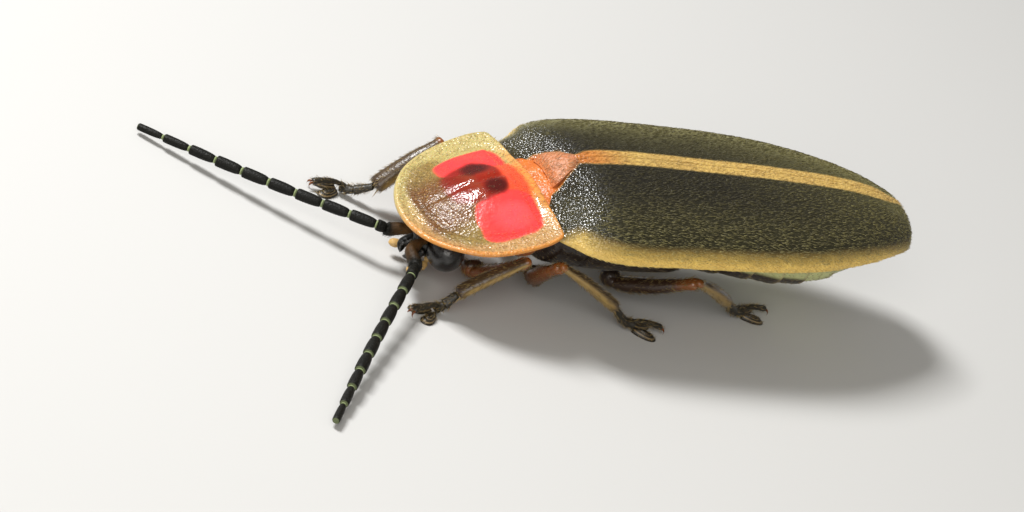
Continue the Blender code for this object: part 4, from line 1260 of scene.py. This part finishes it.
def scutellum_surface(s, t):
    """A small triangle, rounded across, that fills the opening between the cases."""
    x = PLATE_FRONT + (PLATE_REAR - PLATE_FRONT) * t
    across = 2.0 * s - 1.0
    half = np.maximum(case_opening(x) - PLATE_GAP, PLATE_TIP) * np.sqrt(1.0 - 0.35 * (1.0 - t) ** 8)
    crest_z = read_stations(CASE_STATIONS, x)[2]
    z = crest_z - PLATE_SINK + PLATE_DOME * (1.0 - across ** 2) - 0.10 * bump_at(t, 0.0, 0.10)
    points = np.stack((x, across * half, z), axis=1)
    return points, {"body": x, "outer": 1.0 + 0.0 * x}


def make_scutellum():
    plate = add_sheet("scutellum_plate", 36, 40, scutellum_surface)
    apply_modifier(plate, "SOLIDIFY", thickness=PLATE_WALL * MM, offset=-1.0, use_rim=True)
    points = own_places(plate.data)
    crest_z = read_stations(CASE_STATIONS, points[:, 0])[2]
    set_marks(plate.data, outer=(points[:, 2] > crest_z - PLATE_SINK - 0.02).astype(float))
    return finish_piece(plate, finish("plate skin"), ["scutellum"])


def make_mesoscutum():
    """The low orange plate that shows between pronotum and scutellum."""
    clear_selection()
    bpy.ops.mesh.primitive_uv_sphere_add(segments=56, ring_count=32, radius=MM)
    plate = bpy.context.object
    bpy.ops.object.mode_set(mode="EDIT")
    bpy.ops.mesh.select_all(action="SELECT")
    bpy.ops.transform.resize(value=(0.50, 0.98, 0.26))
    bpy.ops.mesh.bisect(plane_co=(0, 0, -0.1 * MM), plane_no=(0, 0, 1), use_fill=True, clear_inner=True)
    bpy.ops.object.mode_set(mode="OBJECT")
    points = read_places(plate.data) / MM
    x, y, z = points.T
    z = z + 0.50 * x + 0.015 * np.sin(9.0 * y) * (z > 0) - 0.04 * bump_at(y, 0.0, 0.06) * (z > 0.1)
    z = z - 0.10 * y ** 2
    plate.name = "mesoscutum_plate"
    write_places(plate.data, np.stack((x + 0.22, y - 0.02, z + 2.55), 1))
    set_marks(plate.data, body=np.minimum(x + 0.17, 0.34), outer=(z > 0).astype(float), across=y + 0.5, along=x + 0.5)
    return finish_piece(plate, finish("plate skin"))


def head_part(name, places, profile, side, around=16, pale=0.0, flat=1.0):
    """A jaw or palp on one side of the head."""
    centre = np.array(HEAD_CENTRE)
    path = smooth_path([centre + (x, side * y, z) for x, y, z in places], 40)
    radii = read_stations(profile, np.linspace(0.0, 1.0, 40))[0]
    part = add_tube(name, path, radii, around, flat)
    set_marks(part.data, pale=pale, outer=1.0)
    return part


def make_head():
    """Skull, upper lip, jaws, palps and neck."""
    clear_selection()
    bpy.ops.mesh.primitive_uv_sphere_add(segments=96, ring_count=64, radius=1.0)
    skull = bpy.context.object
    x, y, z = read_places(skull.data).T
    hx, hy, hz = HEAD_HALF
    front = np.clip(-x, 0.0, 1.0)
    boxy = 1.0 + 0.10 * (np.abs(x * y) + np.abs(y * z))
    sx = x * hx * boxy - 0.05 * bump_at(z, -0.55, 0.35) * front
    sy = y * hy * boxy * (1.0 - 0.10 * front)
    sz = z * hz * boxy
    hollow = 0.06 * bump_at(y, 0.0, 0.30) * bump_at(z, 0.25, 0.35) * front
    sockets = 0.04 * (bump_at(y, 0.28, 0.12) + bump_at(y, -0.28, 0.12)) * bump_at(z, 0.12, 0.14) * front
    sx = sx + hollow + sockets + 0.03 * bump_at(z, -0.30, 0.04) * front
    write_places(skull.data, np.stack((sx, sy, sz), 1) + HEAD_CENTRE)
    set_marks(skull.data, pale=0.0, outer=1.0)
    parts = [skull]
    jaw = ((0.0, 0.0), (0.03, 0.13), (0.3, 0.14), (0.6, 0.11), (0.85, 0.06), (1.0, 0.0))
    palp = ((0.0, 0.0), (0.02, 0.07), (0.18, 0.075), (0.24, 0.05), (0.30, 0.08), (0.48, 0.09),
            (0.54, 0.055), (0.60, 0.09), (0.80, 0.125), (0.93, 0.09), (1.0, 0.0))
    lip = ((0.0, 0.0), (0.05, 0.05), (0.4, 0.055), (0.5, 0.035), (0.6, 0.06), (0.9, 0.05), (1.0, 0.0))
    for side in (-1.0, 1.0):
        parts.append(head_part("jaw", JAW_PLACES, jaw, side, flat=0.7))
        parts.append(head_part("palp", PALP_PLACES, palp, side, pale=0.9, flat=0.75))
        parts.append(head_part("lip_palp", LIP_PLACES, lip, side, pale=0.7))
    centre = np.array(HEAD_CENTRE)
    neck = np.stack([centre + (0.25, 0.0, 0.12), centre + (0.50, 0.01, 0.34), centre + (0.80, 0.03, 0.52)])
    rows = 30
    ribs = 0.40 + 0.012 * np.cos(np.linspace(0.0, 14.0 * math.pi, rows))
    ribs[0] = ribs[-1] = 0.0
    collar = add_tube("neck", smooth_path(neck, rows), ribs, 32)
    set_marks(collar.data, pale=0.45, outer=0.0)
    parts.append(collar)
    upper = smooth_path([centre + (-0.40, -0.14, -0.25), centre + (-0.47, 0.0, -0.27),
                         centre + (-0.40, 0.14, -0.25)], 24)
    bar = 0.075 * np.sqrt(np.clip(1.0 - np.linspace(-1.0, 1.0, 24) ** 4, 0.0, 1.0))
    labrum = add_tube("labrum", upper, bar, 16, 0.8)
    set_marks(labrum.data, pale=0.25, outer=1.0)
    parts.append(labrum)
    head = join_pieces("head_skin", parts)
    return finish_piece(head, finish("dark skin"), ["head"])


def make_eye(name, side):
    """A bulging eye cut flat inside and sunk in its socket."""
    centre = np.array(HEAD_CENTRE) + (EYE_SHIFT[0], side * EYE_OFFSET, EYE_SHIFT[1])
    place = Vector((centre + SHIFT) * MM)
    clear_selection()
    bpy.ops.mesh.primitive_uv_sphere_add(segments=72, ring_count=48, radius=EYE_RADIUS * MM,
                                         location=place, rotation=(math.radians(90.0), 0.0, 0.0))
    eye = bpy.context.object
    eye.name = "eye_ball_" + name
    bpy.ops.object.transform_apply(location=True, rotation=True, scale=True)
    bpy.ops.object.mode_set(mode="EDIT")
    bpy.ops.mesh.select_all(action="SELECT")
    bpy.ops.transform.resize(value=(0.94, 1.06, 1.0), center_override=place)
    inner = place - Vector((0.0, side * 0.20 * MM, 0.0))
    bpy.ops.mesh.bisect(plane_co=inner, plane_no=(0.0, side, 0.0), use_fill=True, clear_inner=True)
    bpy.ops.mesh.select_all(action="SELECT")
    bpy.ops.mesh.normals_make_consistent(inside=False)
    bpy.ops.object.mode_set(mode="OBJECT")
    return finish_piece(eye, finish("eye skin"), ["eye_" + name])


def make_segment():
    """One feeler segment of length and radius 1: a can drawn in at its foot and rounded."""
    clear_selection()
    bpy.ops.mesh.primitive_cylinder_add(vertices=28, radius=1.0, depth=1.0, end_fill_type="NGON")
    segment = bpy.context.object
    for end in (-1.0, 1.0):
        choose_faces(segment, lambda normal, end=end: normal.z * end > 0.9)
        bpy.ops.object.mode_set(mode="EDIT")
        for width, rise in ((0.03, 0.018), (0.06, 0.020), (0.10, 0.018), (0.16, 0.012), (0.22, 0.006)):
            bpy.ops.mesh.inset(thickness=width, depth=rise)
        bpy.ops.mesh.poke()
    choose_faces(segment, lambda normal: abs(normal.z) < 0.1)
    bpy.ops.object.mode_set(mode="EDIT")
    bpy.ops.mesh.subdivide(number_cuts=9)
    bpy.ops.object.mode_set(mode="OBJECT")
    points = read_places(segment.data)
    span = points[:, 2].max()
    height = np.clip(points[:, 2] / span * 0.5 + 0.5, 0.0, 1.0)
    swell = read_stations(((0.0, 0.62), (0.08, 0.80), (0.25, 0.93), (0.60, 1.0), (0.90, 0.99), (1.0, 0.94)),
                          height)[0]
    points[:, :2] *= swell[:, None]
    points[:, 2] = height
    segment.data.vertices.foreach_set("co", points.ravel())
    segment.data.update()
    set_marks(segment.data, along=height, outer=1.0)
    return segment


def place_segment(pattern, start, end, radius, flat, marks):
    """A copy of the pattern, with its own mesh, from start to end."""
    start, end = np.array(start), np.array(end)
    select_only(pattern)
    bpy.ops.object.duplicate(linked=False)
    copy = bpy.context.object
    ahead, side, upward = path_frames(np.stack((start, end)))
    points = read_places(copy.data)
    length = np.linalg.norm(end - start)
    placed = (start + points[:, 2:] * length * ahead[0] + points[:, :1] * radius * side[0]
              + points[:, 1:2] * radius * flat * upward[0])
    turn = np.arctan2(points[:, 1], points[:, 0]) / (2.0 * math.pi) + 0.5
    write_places(copy.data, placed)
    set_marks(copy.data, across=turn, **marks)
    return copy


def feeler_line(name):
    """Places along a feeler, from its root to its tip, and where its segments meet."""
    scape, heading, length, bow = ANTENNAE[name]
    start = np.array(scape[-1])
    level = np.array((heading[0], heading[1], 0.0))
    level /= np.linalg.norm(level)
    aside = np.array((-level[1], level[0], 0.0))
    fall = start[2] - FEELER_TIP_Z
    reach = math.sqrt(length ** 2 - fall ** 2)

    def flagellum(t):
        return start + level * (reach * t) + aside * (bow * math.sin(math.pi * t)) - UP * (fall * t)

    return smooth_path(scape, 60), flagellum


def make_feeler(name, pattern):
    """Eleven segments with pale skin at their joints."""
    root, flagellum = feeler_line(name)
    meet = int(len(root) * SCAPE_END)
    scape_profile = ((0.0, 0.0), (0.02, 0.06), (0.07, 0.10), (0.12, 0.085), (0.25, 0.13),
                     (0.60, 0.150), (0.90, 0.155), (0.98, 0.12), (1.0, 0.0))
    radii = read_stations(scape_profile, np.linspace(0.0, 1.0, meet + 1))[0]
    tan = soft_rise(np.linspace(0.0, 1.0, meet + 1), 0.9, 0.1)
    scape = add_tube("scape", root[:meet + 1], radii, 28, marks={"tan": tan})
    set_marks(scape.data, along=read_mark(scape.data, "along") / 11.0, joint=0.0, outer=1.0)
    parts = [scape, place_segment(pattern, root[meet - 1], root[-1], 0.132, 1.0,
                                  {"joint": 0.0, "tan": 0.0})]
    places = [root[-1]]
    for index in range(FEELER_SEGMENTS):
        t0, t1 = index / FEELER_SEGMENTS, (index + 1) / FEELER_SEGMENTS
        taper = max(0.0, (t0 - TAPER_START) / (1.0 - TAPER_START)) ** 1.2
        radius = FEELER_RADIUS + (FEELER_TIP_RADIUS - FEELER_RADIUS) * taper
        start, end = flagellum(t0), flagellum(t1)
        gap = (end - start) / np.linalg.norm(end - start) * 0.013
        segment = place_segment(pattern, start + gap, end - gap, radius, 0.92,
                                {"joint": 0.0, "tan": 0.0})
        height = read_mark(segment.data, "along")
        lit = 0.5 * soft_rise(height, 0.955, 0.99)
        set_marks(segment.data, joint=lit, along=(index + 2 + height) / 11.0)
        ring = place_segment(pattern, start - gap * 1.4, start + gap * 2.0, radius * 0.72, 0.92,
                             {"joint": 1.0, "tan": 0.0, "outer": 0.0})
        parts += [segment, ring]
        places.append(end)
    feeler = join_pieces("feeler_" + name, parts)
    return finish_piece(feeler, finish("feeler skin"), ["antenna_" + name], angle=60.0)


def leg_paths(name):
    """Smooth ways of the thigh, the shin and the foot of a leg."""
    thigh, ankle, middle, tip = LEGS[name]
    knee, ankle = np.array(thigh[-1]), np.array(ankle)
    along = (ankle - knee) / np.linalg.norm(ankle - knee)
    bow = (knee + ankle) / 2.0 + UP * 0.05
    shin = smooth_path([knee - along * 0.10 + UP * 0.01, bow, ankle + along * 0.05], 60)
    foot_start = ankle + along * 0.02 - UP * 0.02
    way = [foot_start, np.array((*(ankle[:2] * 0.45 + np.array(middle) * 0.55), 0.24)),
           np.array((*middle, 0.17)), np.array((*tip, 0.13))]
    return smooth_path(thigh, 80), shin, smooth_path(way, 121)


def make_leg(name):
    """Coxa, thigh, shin and two spurs of one leg."""
    thigh, shin, _ = leg_paths(name)
    dusk = LEG_SHADE_AND_DARK[name.split("_")[0]]
    share = np.linspace(0.0, 1.0, len(thigh))
    thigh_piece = add_tube("thigh", thigh, read_stations(FEMUR_PROFILE, share)[0], 32, 0.86,
                           {"reach": 0.5 * share})
    share = np.linspace(0.0, 1.0, len(shin))
    shin_piece = add_tube("shin", shin, read_stations(TIBIA_PROFILE, share)[0] * SHIN_SWELL.get(name, 1.0), 28,
                          TIBIA_FLAT,
                          {"reach": 0.5 + 0.5 * share})
    for piece, offset in ((thigh_piece, 0.0), (shin_piece, 0.5)):
        turn = read_mark(piece.data, "across") * 2.0 * math.pi
        set_marks(piece.data, upward=np.sin(turn), outer=1.0, dusk=dusk,
                  along=read_mark(piece.data, "along") * 0.5 + offset)
    parts = [thigh_piece, shin_piece]
    ahead, side, _ = path_frames(shin)
    for sign in (-1.0, 1.0):
        move = ahead[-3] * 0.07 - UP * 0.03 + side[-3] * 0.02 * sign
        spur = draw_out("spur", shin[-5] + side[-5] * 0.09 * sign - UP * 0.05, 0.022,
                        [(move, 0.8), (move, 0.5), (move, 0.1)], 8)
        set_marks(spur.data, reach=0.95, upward=-1.0, dusk=dusk, outer=0.0)
        parts.append(spur)
    leg = join_pieces("leg_" + name, parts)
    return finish_piece(leg, finish("leg skin"), ["femur_" + name, "tibia_" + name])


def make_lobe(place, heading, side, turn):
    """One flat pad lobe: a ball pressed flat, cut level at the floor."""
    clear_selection()
    bpy.ops.mesh.primitive_uv_sphere_add(segments=40, ring_count=24, radius=1.0)
    lobe = bpy.context.object
    x, y, z = read_places(lobe.data).T
    rim = np.hypot(x, y)
    long_half, wide_half, high = LOBE_HALF
    width = wide_half * (1.0 + 0.35 * x)
    height = np.maximum(z * high * (1.0 - 0.35 * x), 0.0) + 0.012 * np.cos(rim * 18.0) * (z > 0.1)
    cos_turn, sin_turn = math.cos(turn), math.sin(turn)
    local_x, local_y = x * long_half, y * width
    across = np.array((-heading[1], heading[0], 0.0))
    points = (place + heading * (local_x * cos_turn - side * local_y * sin_turn)[:, None]
              + across * (side * local_x * sin_turn + local_y * cos_turn)[:, None])
    points[:, 2] = np.maximum(height, 0.0)
    write_places(lobe.data, points)
    set_marks(lobe.data, rim=rim, claw=0.0, outer=(z > 0.0).astype(float),
              across=x * 0.4 + 0.5, along=y * 0.4 + 0.5)
    return lobe


def make_foot(name):
    """Three short segments, two pad lobes, the claw segment and two hooked claws."""
    _, _, way = leg_paths(name)
    last = len(way) - 1
    parts = []
    for start, end, thin, wide in FOOT_SEGMENTS + (CLAW_SEGMENT,):
        rows = way[int(start * last):int(end * last) + 1]
        share = np.linspace(0.0, 1.0, len(rows))
        if start == CLAW_SEGMENT[0]:
            rows = rows + UP * (0.06 * np.sin(math.pi * share) + 0.05)[:, None]
        radii = (thin + (wide - thin) * share ** 0.8) * np.clip(
            np.minimum(share / 0.10, (1.0 - share) / 0.06), 0.0, 1.0) ** 0.5
        segment = add_tube("foot_segment", rows, radii, 24, 0.82)
        set_marks(segment.data, rim=0.0, claw=0.0, outer=1.0,
                  along=start + (end - start) * read_mark(segment.data, "along"))
        parts.append(segment)
    centre = way[int(LOBE_PLACE * last)]
    heading = way[last] - way[int(0.6 * last)]
    heading = np.array((heading[0], heading[1], 0.0)) / np.hypot(heading[0], heading[1])
    aside = np.array((-heading[1], heading[0], 0.0))
    for side in (-1.0, 1.0):
        place = np.array((centre[0], centre[1], 0.0)) + aside * (side * LOBE_SPREAD)
        parts.append(make_lobe(place, heading, side, LOBE_TURN))
        root = way[int(0.91 * last)] + UP * 0.05 + aside * (side * 0.03)
        steps = []
        for step in range(6):
            bend = math.radians(12.0 + 22.0 * step)
            move = (heading * math.cos(bend) - UP * (0.75 * math.sin(bend)) + aside * (side * 0.30)) * 0.036
            steps.append((move, 0.88 if step < 3 else 0.62))
        claw = draw_out("claw", root, 0.036, steps, 10)
        set_marks(claw.data, rim=0.0, claw=1.0, outer=0.0)
        parts.append(claw)
    foot = join_pieces("foot_" + name, parts)
    points = own_places(foot.data)
    points[:, 2] = np.maximum(points[:, 2], 0.0)
    write_places(foot.data, points)
    return finish_piece(foot, finish("foot skin"), ["tarsus_" + name])


# hairs
def scatter(piece, count, draw, keep=None):
    """Random roots on the outer faces of a piece: places, normals and marks there."""
    mesh = piece.data
    mesh.calc_loop_triangles()
    corners = np.empty(len(mesh.loop_triangles) * 3, "i4")
    mesh.loop_triangles.foreach_get("vertices", corners)
    corners = corners.reshape(-1, 3)
    places = own_places(mesh)
    marks = {layer.name: read_mark(mesh, layer.name) for layer in mesh.attributes
             if layer.data_type == "FLOAT" and layer.domain == "POINT"}
    triangle = places[corners]
    cross = np.cross(triangle[:, 1] - triangle[:, 0], triangle[:, 2] - triangle[:, 0])
    area = np.linalg.norm(cross, axis=1) / 2.0
    weight = area * (marks["outer"][corners].min(axis=1) > 0.5)
    weight = weight * (np.ptp(marks["across"][corners], axis=1) < 0.5)
    if keep is not None:
        values = {name: value[corners].mean(axis=1) for name, value in marks.items()}
        weight = weight * keep(values, cross / np.maximum(2.0 * area, 1e-12)[:, None])
    chosen = draw.choice(len(weight), count, p=weight / weight.sum())
    first, second = draw.random(count), draw.random(count)
    over = first + second > 1.0
    first[over], second[over] = 1.0 - first[over], 1.0 - second[over]
    share = np.stack((1.0 - first - second, first, second), 1)
    roots = np.einsum("ij,ijk->ik", share, triangle[chosen])
    normals = cross[chosen] / (2.0 * area[chosen])[:, None]
    values = {name: (value[corners[chosen]] * share).sum(axis=1) for name, value in marks.items()}
    return roots, normals, values


PATCH = 0.003              # size of a hair's own patch on the unwrap


def grow_hairs(name, skin, count, lie, length, width, lift, material, draw, keep=None,
               loose=0.16):
    """Solid, tapered, three-sided hairs on a piece, lying along lie(places, marks)."""
    roots, normals, marks = scatter(skin, count, draw, keep)
    along = lie(roots, marks)
    along = along - normals * (along * normals).sum(axis=1)[:, None]
    along /= np.maximum(np.linalg.norm(along, axis=1), 1e-6)[:, None]
    aside = np.cross(normals, along)
    yaw = draw.normal(0.0, loose, count)[:, None]
    along = along * np.cos(yaw) + aside * np.sin(yaw)
    aside = np.cross(normals, along)
    long = (length * draw.uniform(0.65, 1.2, count))[:, None]
    thick = (width * draw.uniform(0.75, 1.2, count))[:, None]
    rise = np.tan(lift * draw.uniform(0.6, 1.5, count))[:, None]
    points = np.empty((count, 7, 3))
    base = roots - normals * (0.4 * thick)
    middle = roots + along * (0.55 * long) + normals * (0.55 * long * rise)
    tip = roots + along * long + normals * (0.85 * long * rise)
    for corner in range(3):
        turn = 2.0 * math.pi * corner / 3.0
        offset = aside * (0.5 * math.cos(turn)) + normals * (0.5 * math.sin(turn))
        points[:, corner] = base + offset * thick
        points[:, 3 + corner] = middle + offset * thick * 0.8
    points[:, 6] = tip
    points[:, :, 2] = np.maximum(points[:, :, 2], 0.0)
    faces = np.array(((0, 1, 4, 3), (1, 2, 5, 4), (2, 0, 3, 5)))
    tips = np.array(((3, 4, 6), (4, 5, 6), (5, 3, 6), (2, 1, 0)))
    pattern = np.concatenate((faces.ravel(), tips.ravel()))
    loops = (pattern[None, :] + 7 * np.arange(count)[:, None]).ravel()
    sizes = np.tile(np.array([4, 4, 4, 3, 3, 3, 3]), count)
    mesh = bpy.data.meshes.new(name)
    mesh.vertices.add(7 * count)
    mesh.loops.add(len(loops))
    mesh.polygons.add(len(sizes))
    mesh.loops.foreach_set("vertex_index", loops.astype("i4"))
    mesh.polygons.foreach_set("loop_start", (np.cumsum(sizes) - sizes).astype("i4"))
    mesh.vertices.foreach_set("co", ((points.reshape(-1, 3) + SHIFT) * MM).ravel())
    mesh.update(calc_edges=True)
    mesh.validate()
    tint = np.repeat(draw.random(count), 7)
    kept = {key: np.repeat(value, 7) for key, value in marks.items()
            if key not in ("across", "along", "outer")}
    set_marks(mesh, tint=tint, **kept)
    corner = np.array(((0.0, 0.0), (1.0, 0.0), (0.5, 0.3), (0.1, 0.6), (0.9, 0.6), (0.5, 0.7), (0.5, 1.0)))
    unwrap = np.stack((marks["across"], marks["along"]), 1)[:, None, :] + (corner - 0.5) * PATCH
    layer = mesh.uv_layers.new(name="OFBake")
    layer.data.foreach_set("uv", unwrap.reshape(-1, 2)[loops].astype("f4").ravel())
    coat = bpy.data.objects.new(name, mesh)
    bpy.context.scene.collection.objects.link(coat)
    return finish_piece(coat, material, angle=None)


def lie_back(sideways=0.0):
    """Hairs that point to the tail and a little outwards."""
    def lie(roots, marks):
        spread = sideways * np.clip(roots[:, 1] / 2.0, -1.0, 1.0)
        return np.stack((np.ones(len(roots)), spread, np.zeros(len(roots))), 1)
    return lie


def lie_along(path, key, low, high):
    """Hairs that point along a path, whose way is the mark key from low to high."""
    ahead = path_frames(path)[0]

    def lie(roots, marks):
        share = np.clip((marks[key] - low) / (high - low), 0.0, 1.0)
        return ahead[np.rint(share * (len(path) - 1)).astype(int)]
    return lie


# operators
class FireflyOperator:
    """What the operators share: each can be undone."""
    bl_options = {"REGISTER", "UNDO"}


class FIREFLY_OT_wing_cases(FireflyOperator, bpy.types.Operator):
    """Make the two wing cases"""
    bl_idname = "firefly.wing_cases"
    bl_label = "Wing cases"

    def execute(self, context):
        for name, side in (("left", -1.0), ("right", 1.0)):
            make_wing_case(name, side, context.scene.firefly.cases)
        return {"FINISHED"}


class FIREFLY_OT_shield(FireflyOperator, bpy.types.Operator):
    """Make the pronotum"""
    bl_idname = "firefly.shield"
    bl_label = "Pronotum"

    def execute(self, context):
        make_shield(context.scene.firefly.shield)
        return {"FINISHED"}


class FIREFLY_OT_trunk(FireflyOperator, bpy.types.Operator):
    """Make the trunk, the scutellum and the plate before it"""
    bl_idname = "firefly.trunk"
    bl_label = "Trunk and plates"

    def execute(self, context):
        make_trunk()
        make_scutellum()
        make_mesoscutum()
        return {"FINISHED"}


class FIREFLY_OT_head(FireflyOperator, bpy.types.Operator):
    """Make the head and its two eyes"""
    bl_idname = "firefly.head"
    bl_label = "Head and eyes"

    def execute(self, context):
        make_head()
        make_eye("left", -1.0)
        make_eye("right", 1.0)
        return {"FINISHED"}


class FIREFLY_OT_feelers(FireflyOperator, bpy.types.Operator):
    """Make the two feelers"""
    bl_idname = "firefly.feelers"
    bl_label = "Feelers"

    def execute(self, context):
        pattern = make_segment()
        for name in ANTENNAE:
            make_feeler(name, pattern)
        bpy.data.objects.remove(pattern)
        return {"FINISHED"}


class FIREFLY_OT_legs(FireflyOperator, bpy.types.Operator):
    """Make the six legs"""
    bl_idname = "firefly.legs"
    bl_label = "Legs"

    def execute(self, context):
        for name in LEGS:
            make_leg(name)
        return {"FINISHED"}


class FIREFLY_OT_feet(FireflyOperator, bpy.types.Operator):
    """Make the six feet"""
    bl_idname = "firefly.feet"
    bl_label = "Feet"

    def execute(self, context):
        for name in LEGS:
            make_foot(name)
        return {"FINISHED"}


class FIREFLY_OT_coat(FireflyOperator, bpy.types.Operator):
    """Grow the hairs on all pieces"""
    bl_idname = "firefly.coat"
    bl_label = "Hairs"

    def execute(self, context):
        coat = context.scene.firefly.coat
        draw = np.random.default_rng(coat.seed)
        width = coat.width / MM
        pieces = bpy.data.objects
        for name in ("left", "right"):
            grow_hairs("case_hair_" + name, pieces["wing_case_" + name], coat.case_count,
                       lie_back(0.10), coat.case_length / MM, width, math.radians(9.0),
                       finish("case hair"), draw,
                       lambda marks, normals: 0.35 + 0.65 * soft_rise(marks["body"], 0.5, 1.3))
        grow_hairs("shield_hair", pieces["pronotum_shield"], coat.shield_count, lie_back(0.5),
                   0.065, 0.8 * width, math.radians(16.0), finish("shield hair"), draw,
                   lambda marks, normals: 0.08 + soft_rise(marks["edge"], 0.75, 0.4)
                   + 0.8 * soft_rise(marks["forward"], 1.7, 2.1))
        grow_hairs("plate_hair", pieces["scutellum_plate"], 380, lie_back(), 0.09, 0.8 * width,
                   math.radians(14.0), finish("plate hair"), draw,
                   lambda marks, normals: (normals[:, 2] > 0.3) * 1.0)
        grow_hairs("trunk_hair", pieces["trunk_skin"], 4200, lie_back(), 0.075, 0.9 * width,
                   math.radians(12.0), finish("trunk hair"), draw)
        for name in LEGS:
            thigh, shin, foot = leg_paths(name)
            lies = (lie_along(thigh, "reach", 0.0, 0.5), lie_along(shin, "reach", 0.5, 1.0))

            def lie(roots, marks):
                return np.where((marks["reach"] < 0.5)[:, None], lies[0](roots, marks),
                                lies[1](roots, marks))

            grow_hairs("leg_hair_" + name, pieces["leg_" + name], coat.leg_count, lie, 0.095,
                       0.85 * width, math.radians(24.0), finish("leg hair"), draw)
            grow_hairs("foot_hair_" + name, pieces["foot_" + name], 420,
                       lie_along(foot, "along", 0.0, 1.0), 0.085, 0.8 * width,
                       math.radians(30.0), finish("leg hair"), draw)
        for name in ANTENNAE:
            root, flagellum = feeler_line(name)
            line = np.vstack((root[::6], [flagellum(t) for t in np.linspace(0.0, 1.0, 30)[1:]]))
            grow_hairs("feeler_hair_" + name, pieces["feeler_" + name], coat.segment_count * 11,
                       lie_along(line, "along", 0.0, 1.0), 0.065, 0.7 * width,
                       math.radians(30.0), finish("feeler hair"), draw)
        return {"FINISHED"}


def camera_axes():
    """Right, up and back directions of the camera."""
    turn, rise, roll = CAMERA_TURN, CAMERA_RISE, CAMERA_ROLL
    back = Vector((math.sin(turn) * math.cos(rise), -math.cos(turn) * math.cos(rise), math.sin(rise)))
    level = Vector((math.cos(turn), math.sin(turn), 0.0))
    upright = back.cross(level)
    right = level * math.cos(roll) + upright * math.sin(roll)
    up = upright * math.cos(roll) - level * math.sin(roll)
    return right, up, back


def add_light(name, place, aim, size, power, colour=(1.0, 1.0, 1.0)):
    """A square soft light at a place, turned to its aim; both in millimetres."""
    place, aim = Vector(place) * MM, Vector(aim) * MM
    bpy.ops.object.light_add(type="AREA", location=place)
    lamp = bpy.context.object
    lamp.name = name
    lamp.rotation_euler = (place - aim).to_track_quat("Z", "Y").to_euler()
    lamp.data.size = size * MM
    lamp.data.energy = power
    lamp.data.color = colour
    lamp.visible_camera = False
    return lamp


class FIREFLY_OT_stage(FireflyOperator, bpy.types.Operator):
    """Make the floor, the lights and the camera"""
    bl_idname = "firefly.stage"
    bl_label = "Stage"

    def execute(self, context):
        settings = context.scene.firefly.stage
        clear_selection()
        bpy.ops.mesh.primitive_plane_add(size=600.0 * MM)
        floor = context.object
        floor.name = "stage_floor"
        bpy.ops.object.mode_set(mode="EDIT")
        bpy.ops.mesh.subdivide(number_cuts=4)
        bpy.ops.object.mode_set(mode="OBJECT")
        floor.data.materials.append(finish("floor"))
        right, up, back = camera_axes()
        aim = Vector(CAMERA_AIM) + Vector(SHIFT)
        add_light("key_light", (-36.0, 38.0, 70.0), aim, 25.0, settings.key)
        add_light("fill_light", (-60.0, -70.0, 60.0), aim, 70.0, settings.fill, (1.0, 0.97, 0.92))
        world = bpy.data.worlds.new("Studio")
        world.use_nodes = True
        world.node_tree.nodes["Background"].inputs["Color"].default_value = (1.0, 0.985, 0.95, 1.0)
        world.node_tree.nodes["Background"].inputs["Strength"].default_value = settings.sky
        context.scene.world = world
        context.scene.view_settings.view_transform = "Standard"
        camera = bpy.data.cameras.new("camera")
        holder = bpy.data.objects.new("camera", camera)
        context.scene.collection.objects.link(holder)
        camera.sensor_width = SENSOR_WIDTH
        camera.lens = SENSOR_WIDTH * PIXELS_PER_MM * CAMERA_DISTANCE / IMAGE_WIDTH
        camera.clip_start = 5.0 * MM
        camera.clip_end = 5000.0 * MM
        turn = Matrix((right, up, back)).transposed().to_4x4()
        holder.matrix_world = Matrix.Translation((aim + back * CAMERA_DISTANCE) * MM) @ turn
        context.scene.camera = holder
        return {"FINISHED"}


class FIREFLY_PT_panel(bpy.types.Panel):
    """The firefly's pieces in the sidebar"""
    bl_idname = "FIREFLY_PT_panel"
    bl_label = "Firefly"
    bl_space_type = "VIEW_3D"
    bl_region_type = "UI"
    bl_category = "Firefly"

    def draw(self, context):
        for operator in OPERATORS:
            self.layout.operator(operator.bl_idname)


OPERATORS = (FIREFLY_OT_wing_cases, FIREFLY_OT_shield, FIREFLY_OT_trunk, FIREFLY_OT_head,
             FIREFLY_OT_feelers, FIREFLY_OT_legs, FIREFLY_OT_feet, FIREFLY_OT_coat,
             FIREFLY_OT_stage)
CLASSES = (FIREFLY_PG_cases, FIREFLY_PG_shield, FIREFLY_PG_body, FIREFLY_PG_coat,
           FIREFLY_PG_stage, FIREFLY_PG_settings) + OPERATORS + (FIREFLY_PT_panel,)


def register():
    for item in CLASSES:
        bpy.utils.register_class(item)
    bpy.types.Scene.firefly = bpy.props.PointerProperty(type=FIREFLY_PG_settings)


def unregister():
    del bpy.types.Scene.firefly
    for item in reversed(CLASSES):
        bpy.utils.unregister_class(item)


def main():
    register()
    for operator in OPERATORS:
        group, name = operator.bl_idname.split(".")
        getattr(getattr(bpy.ops, group), name)()


if __name__ == "__main__":
    main()
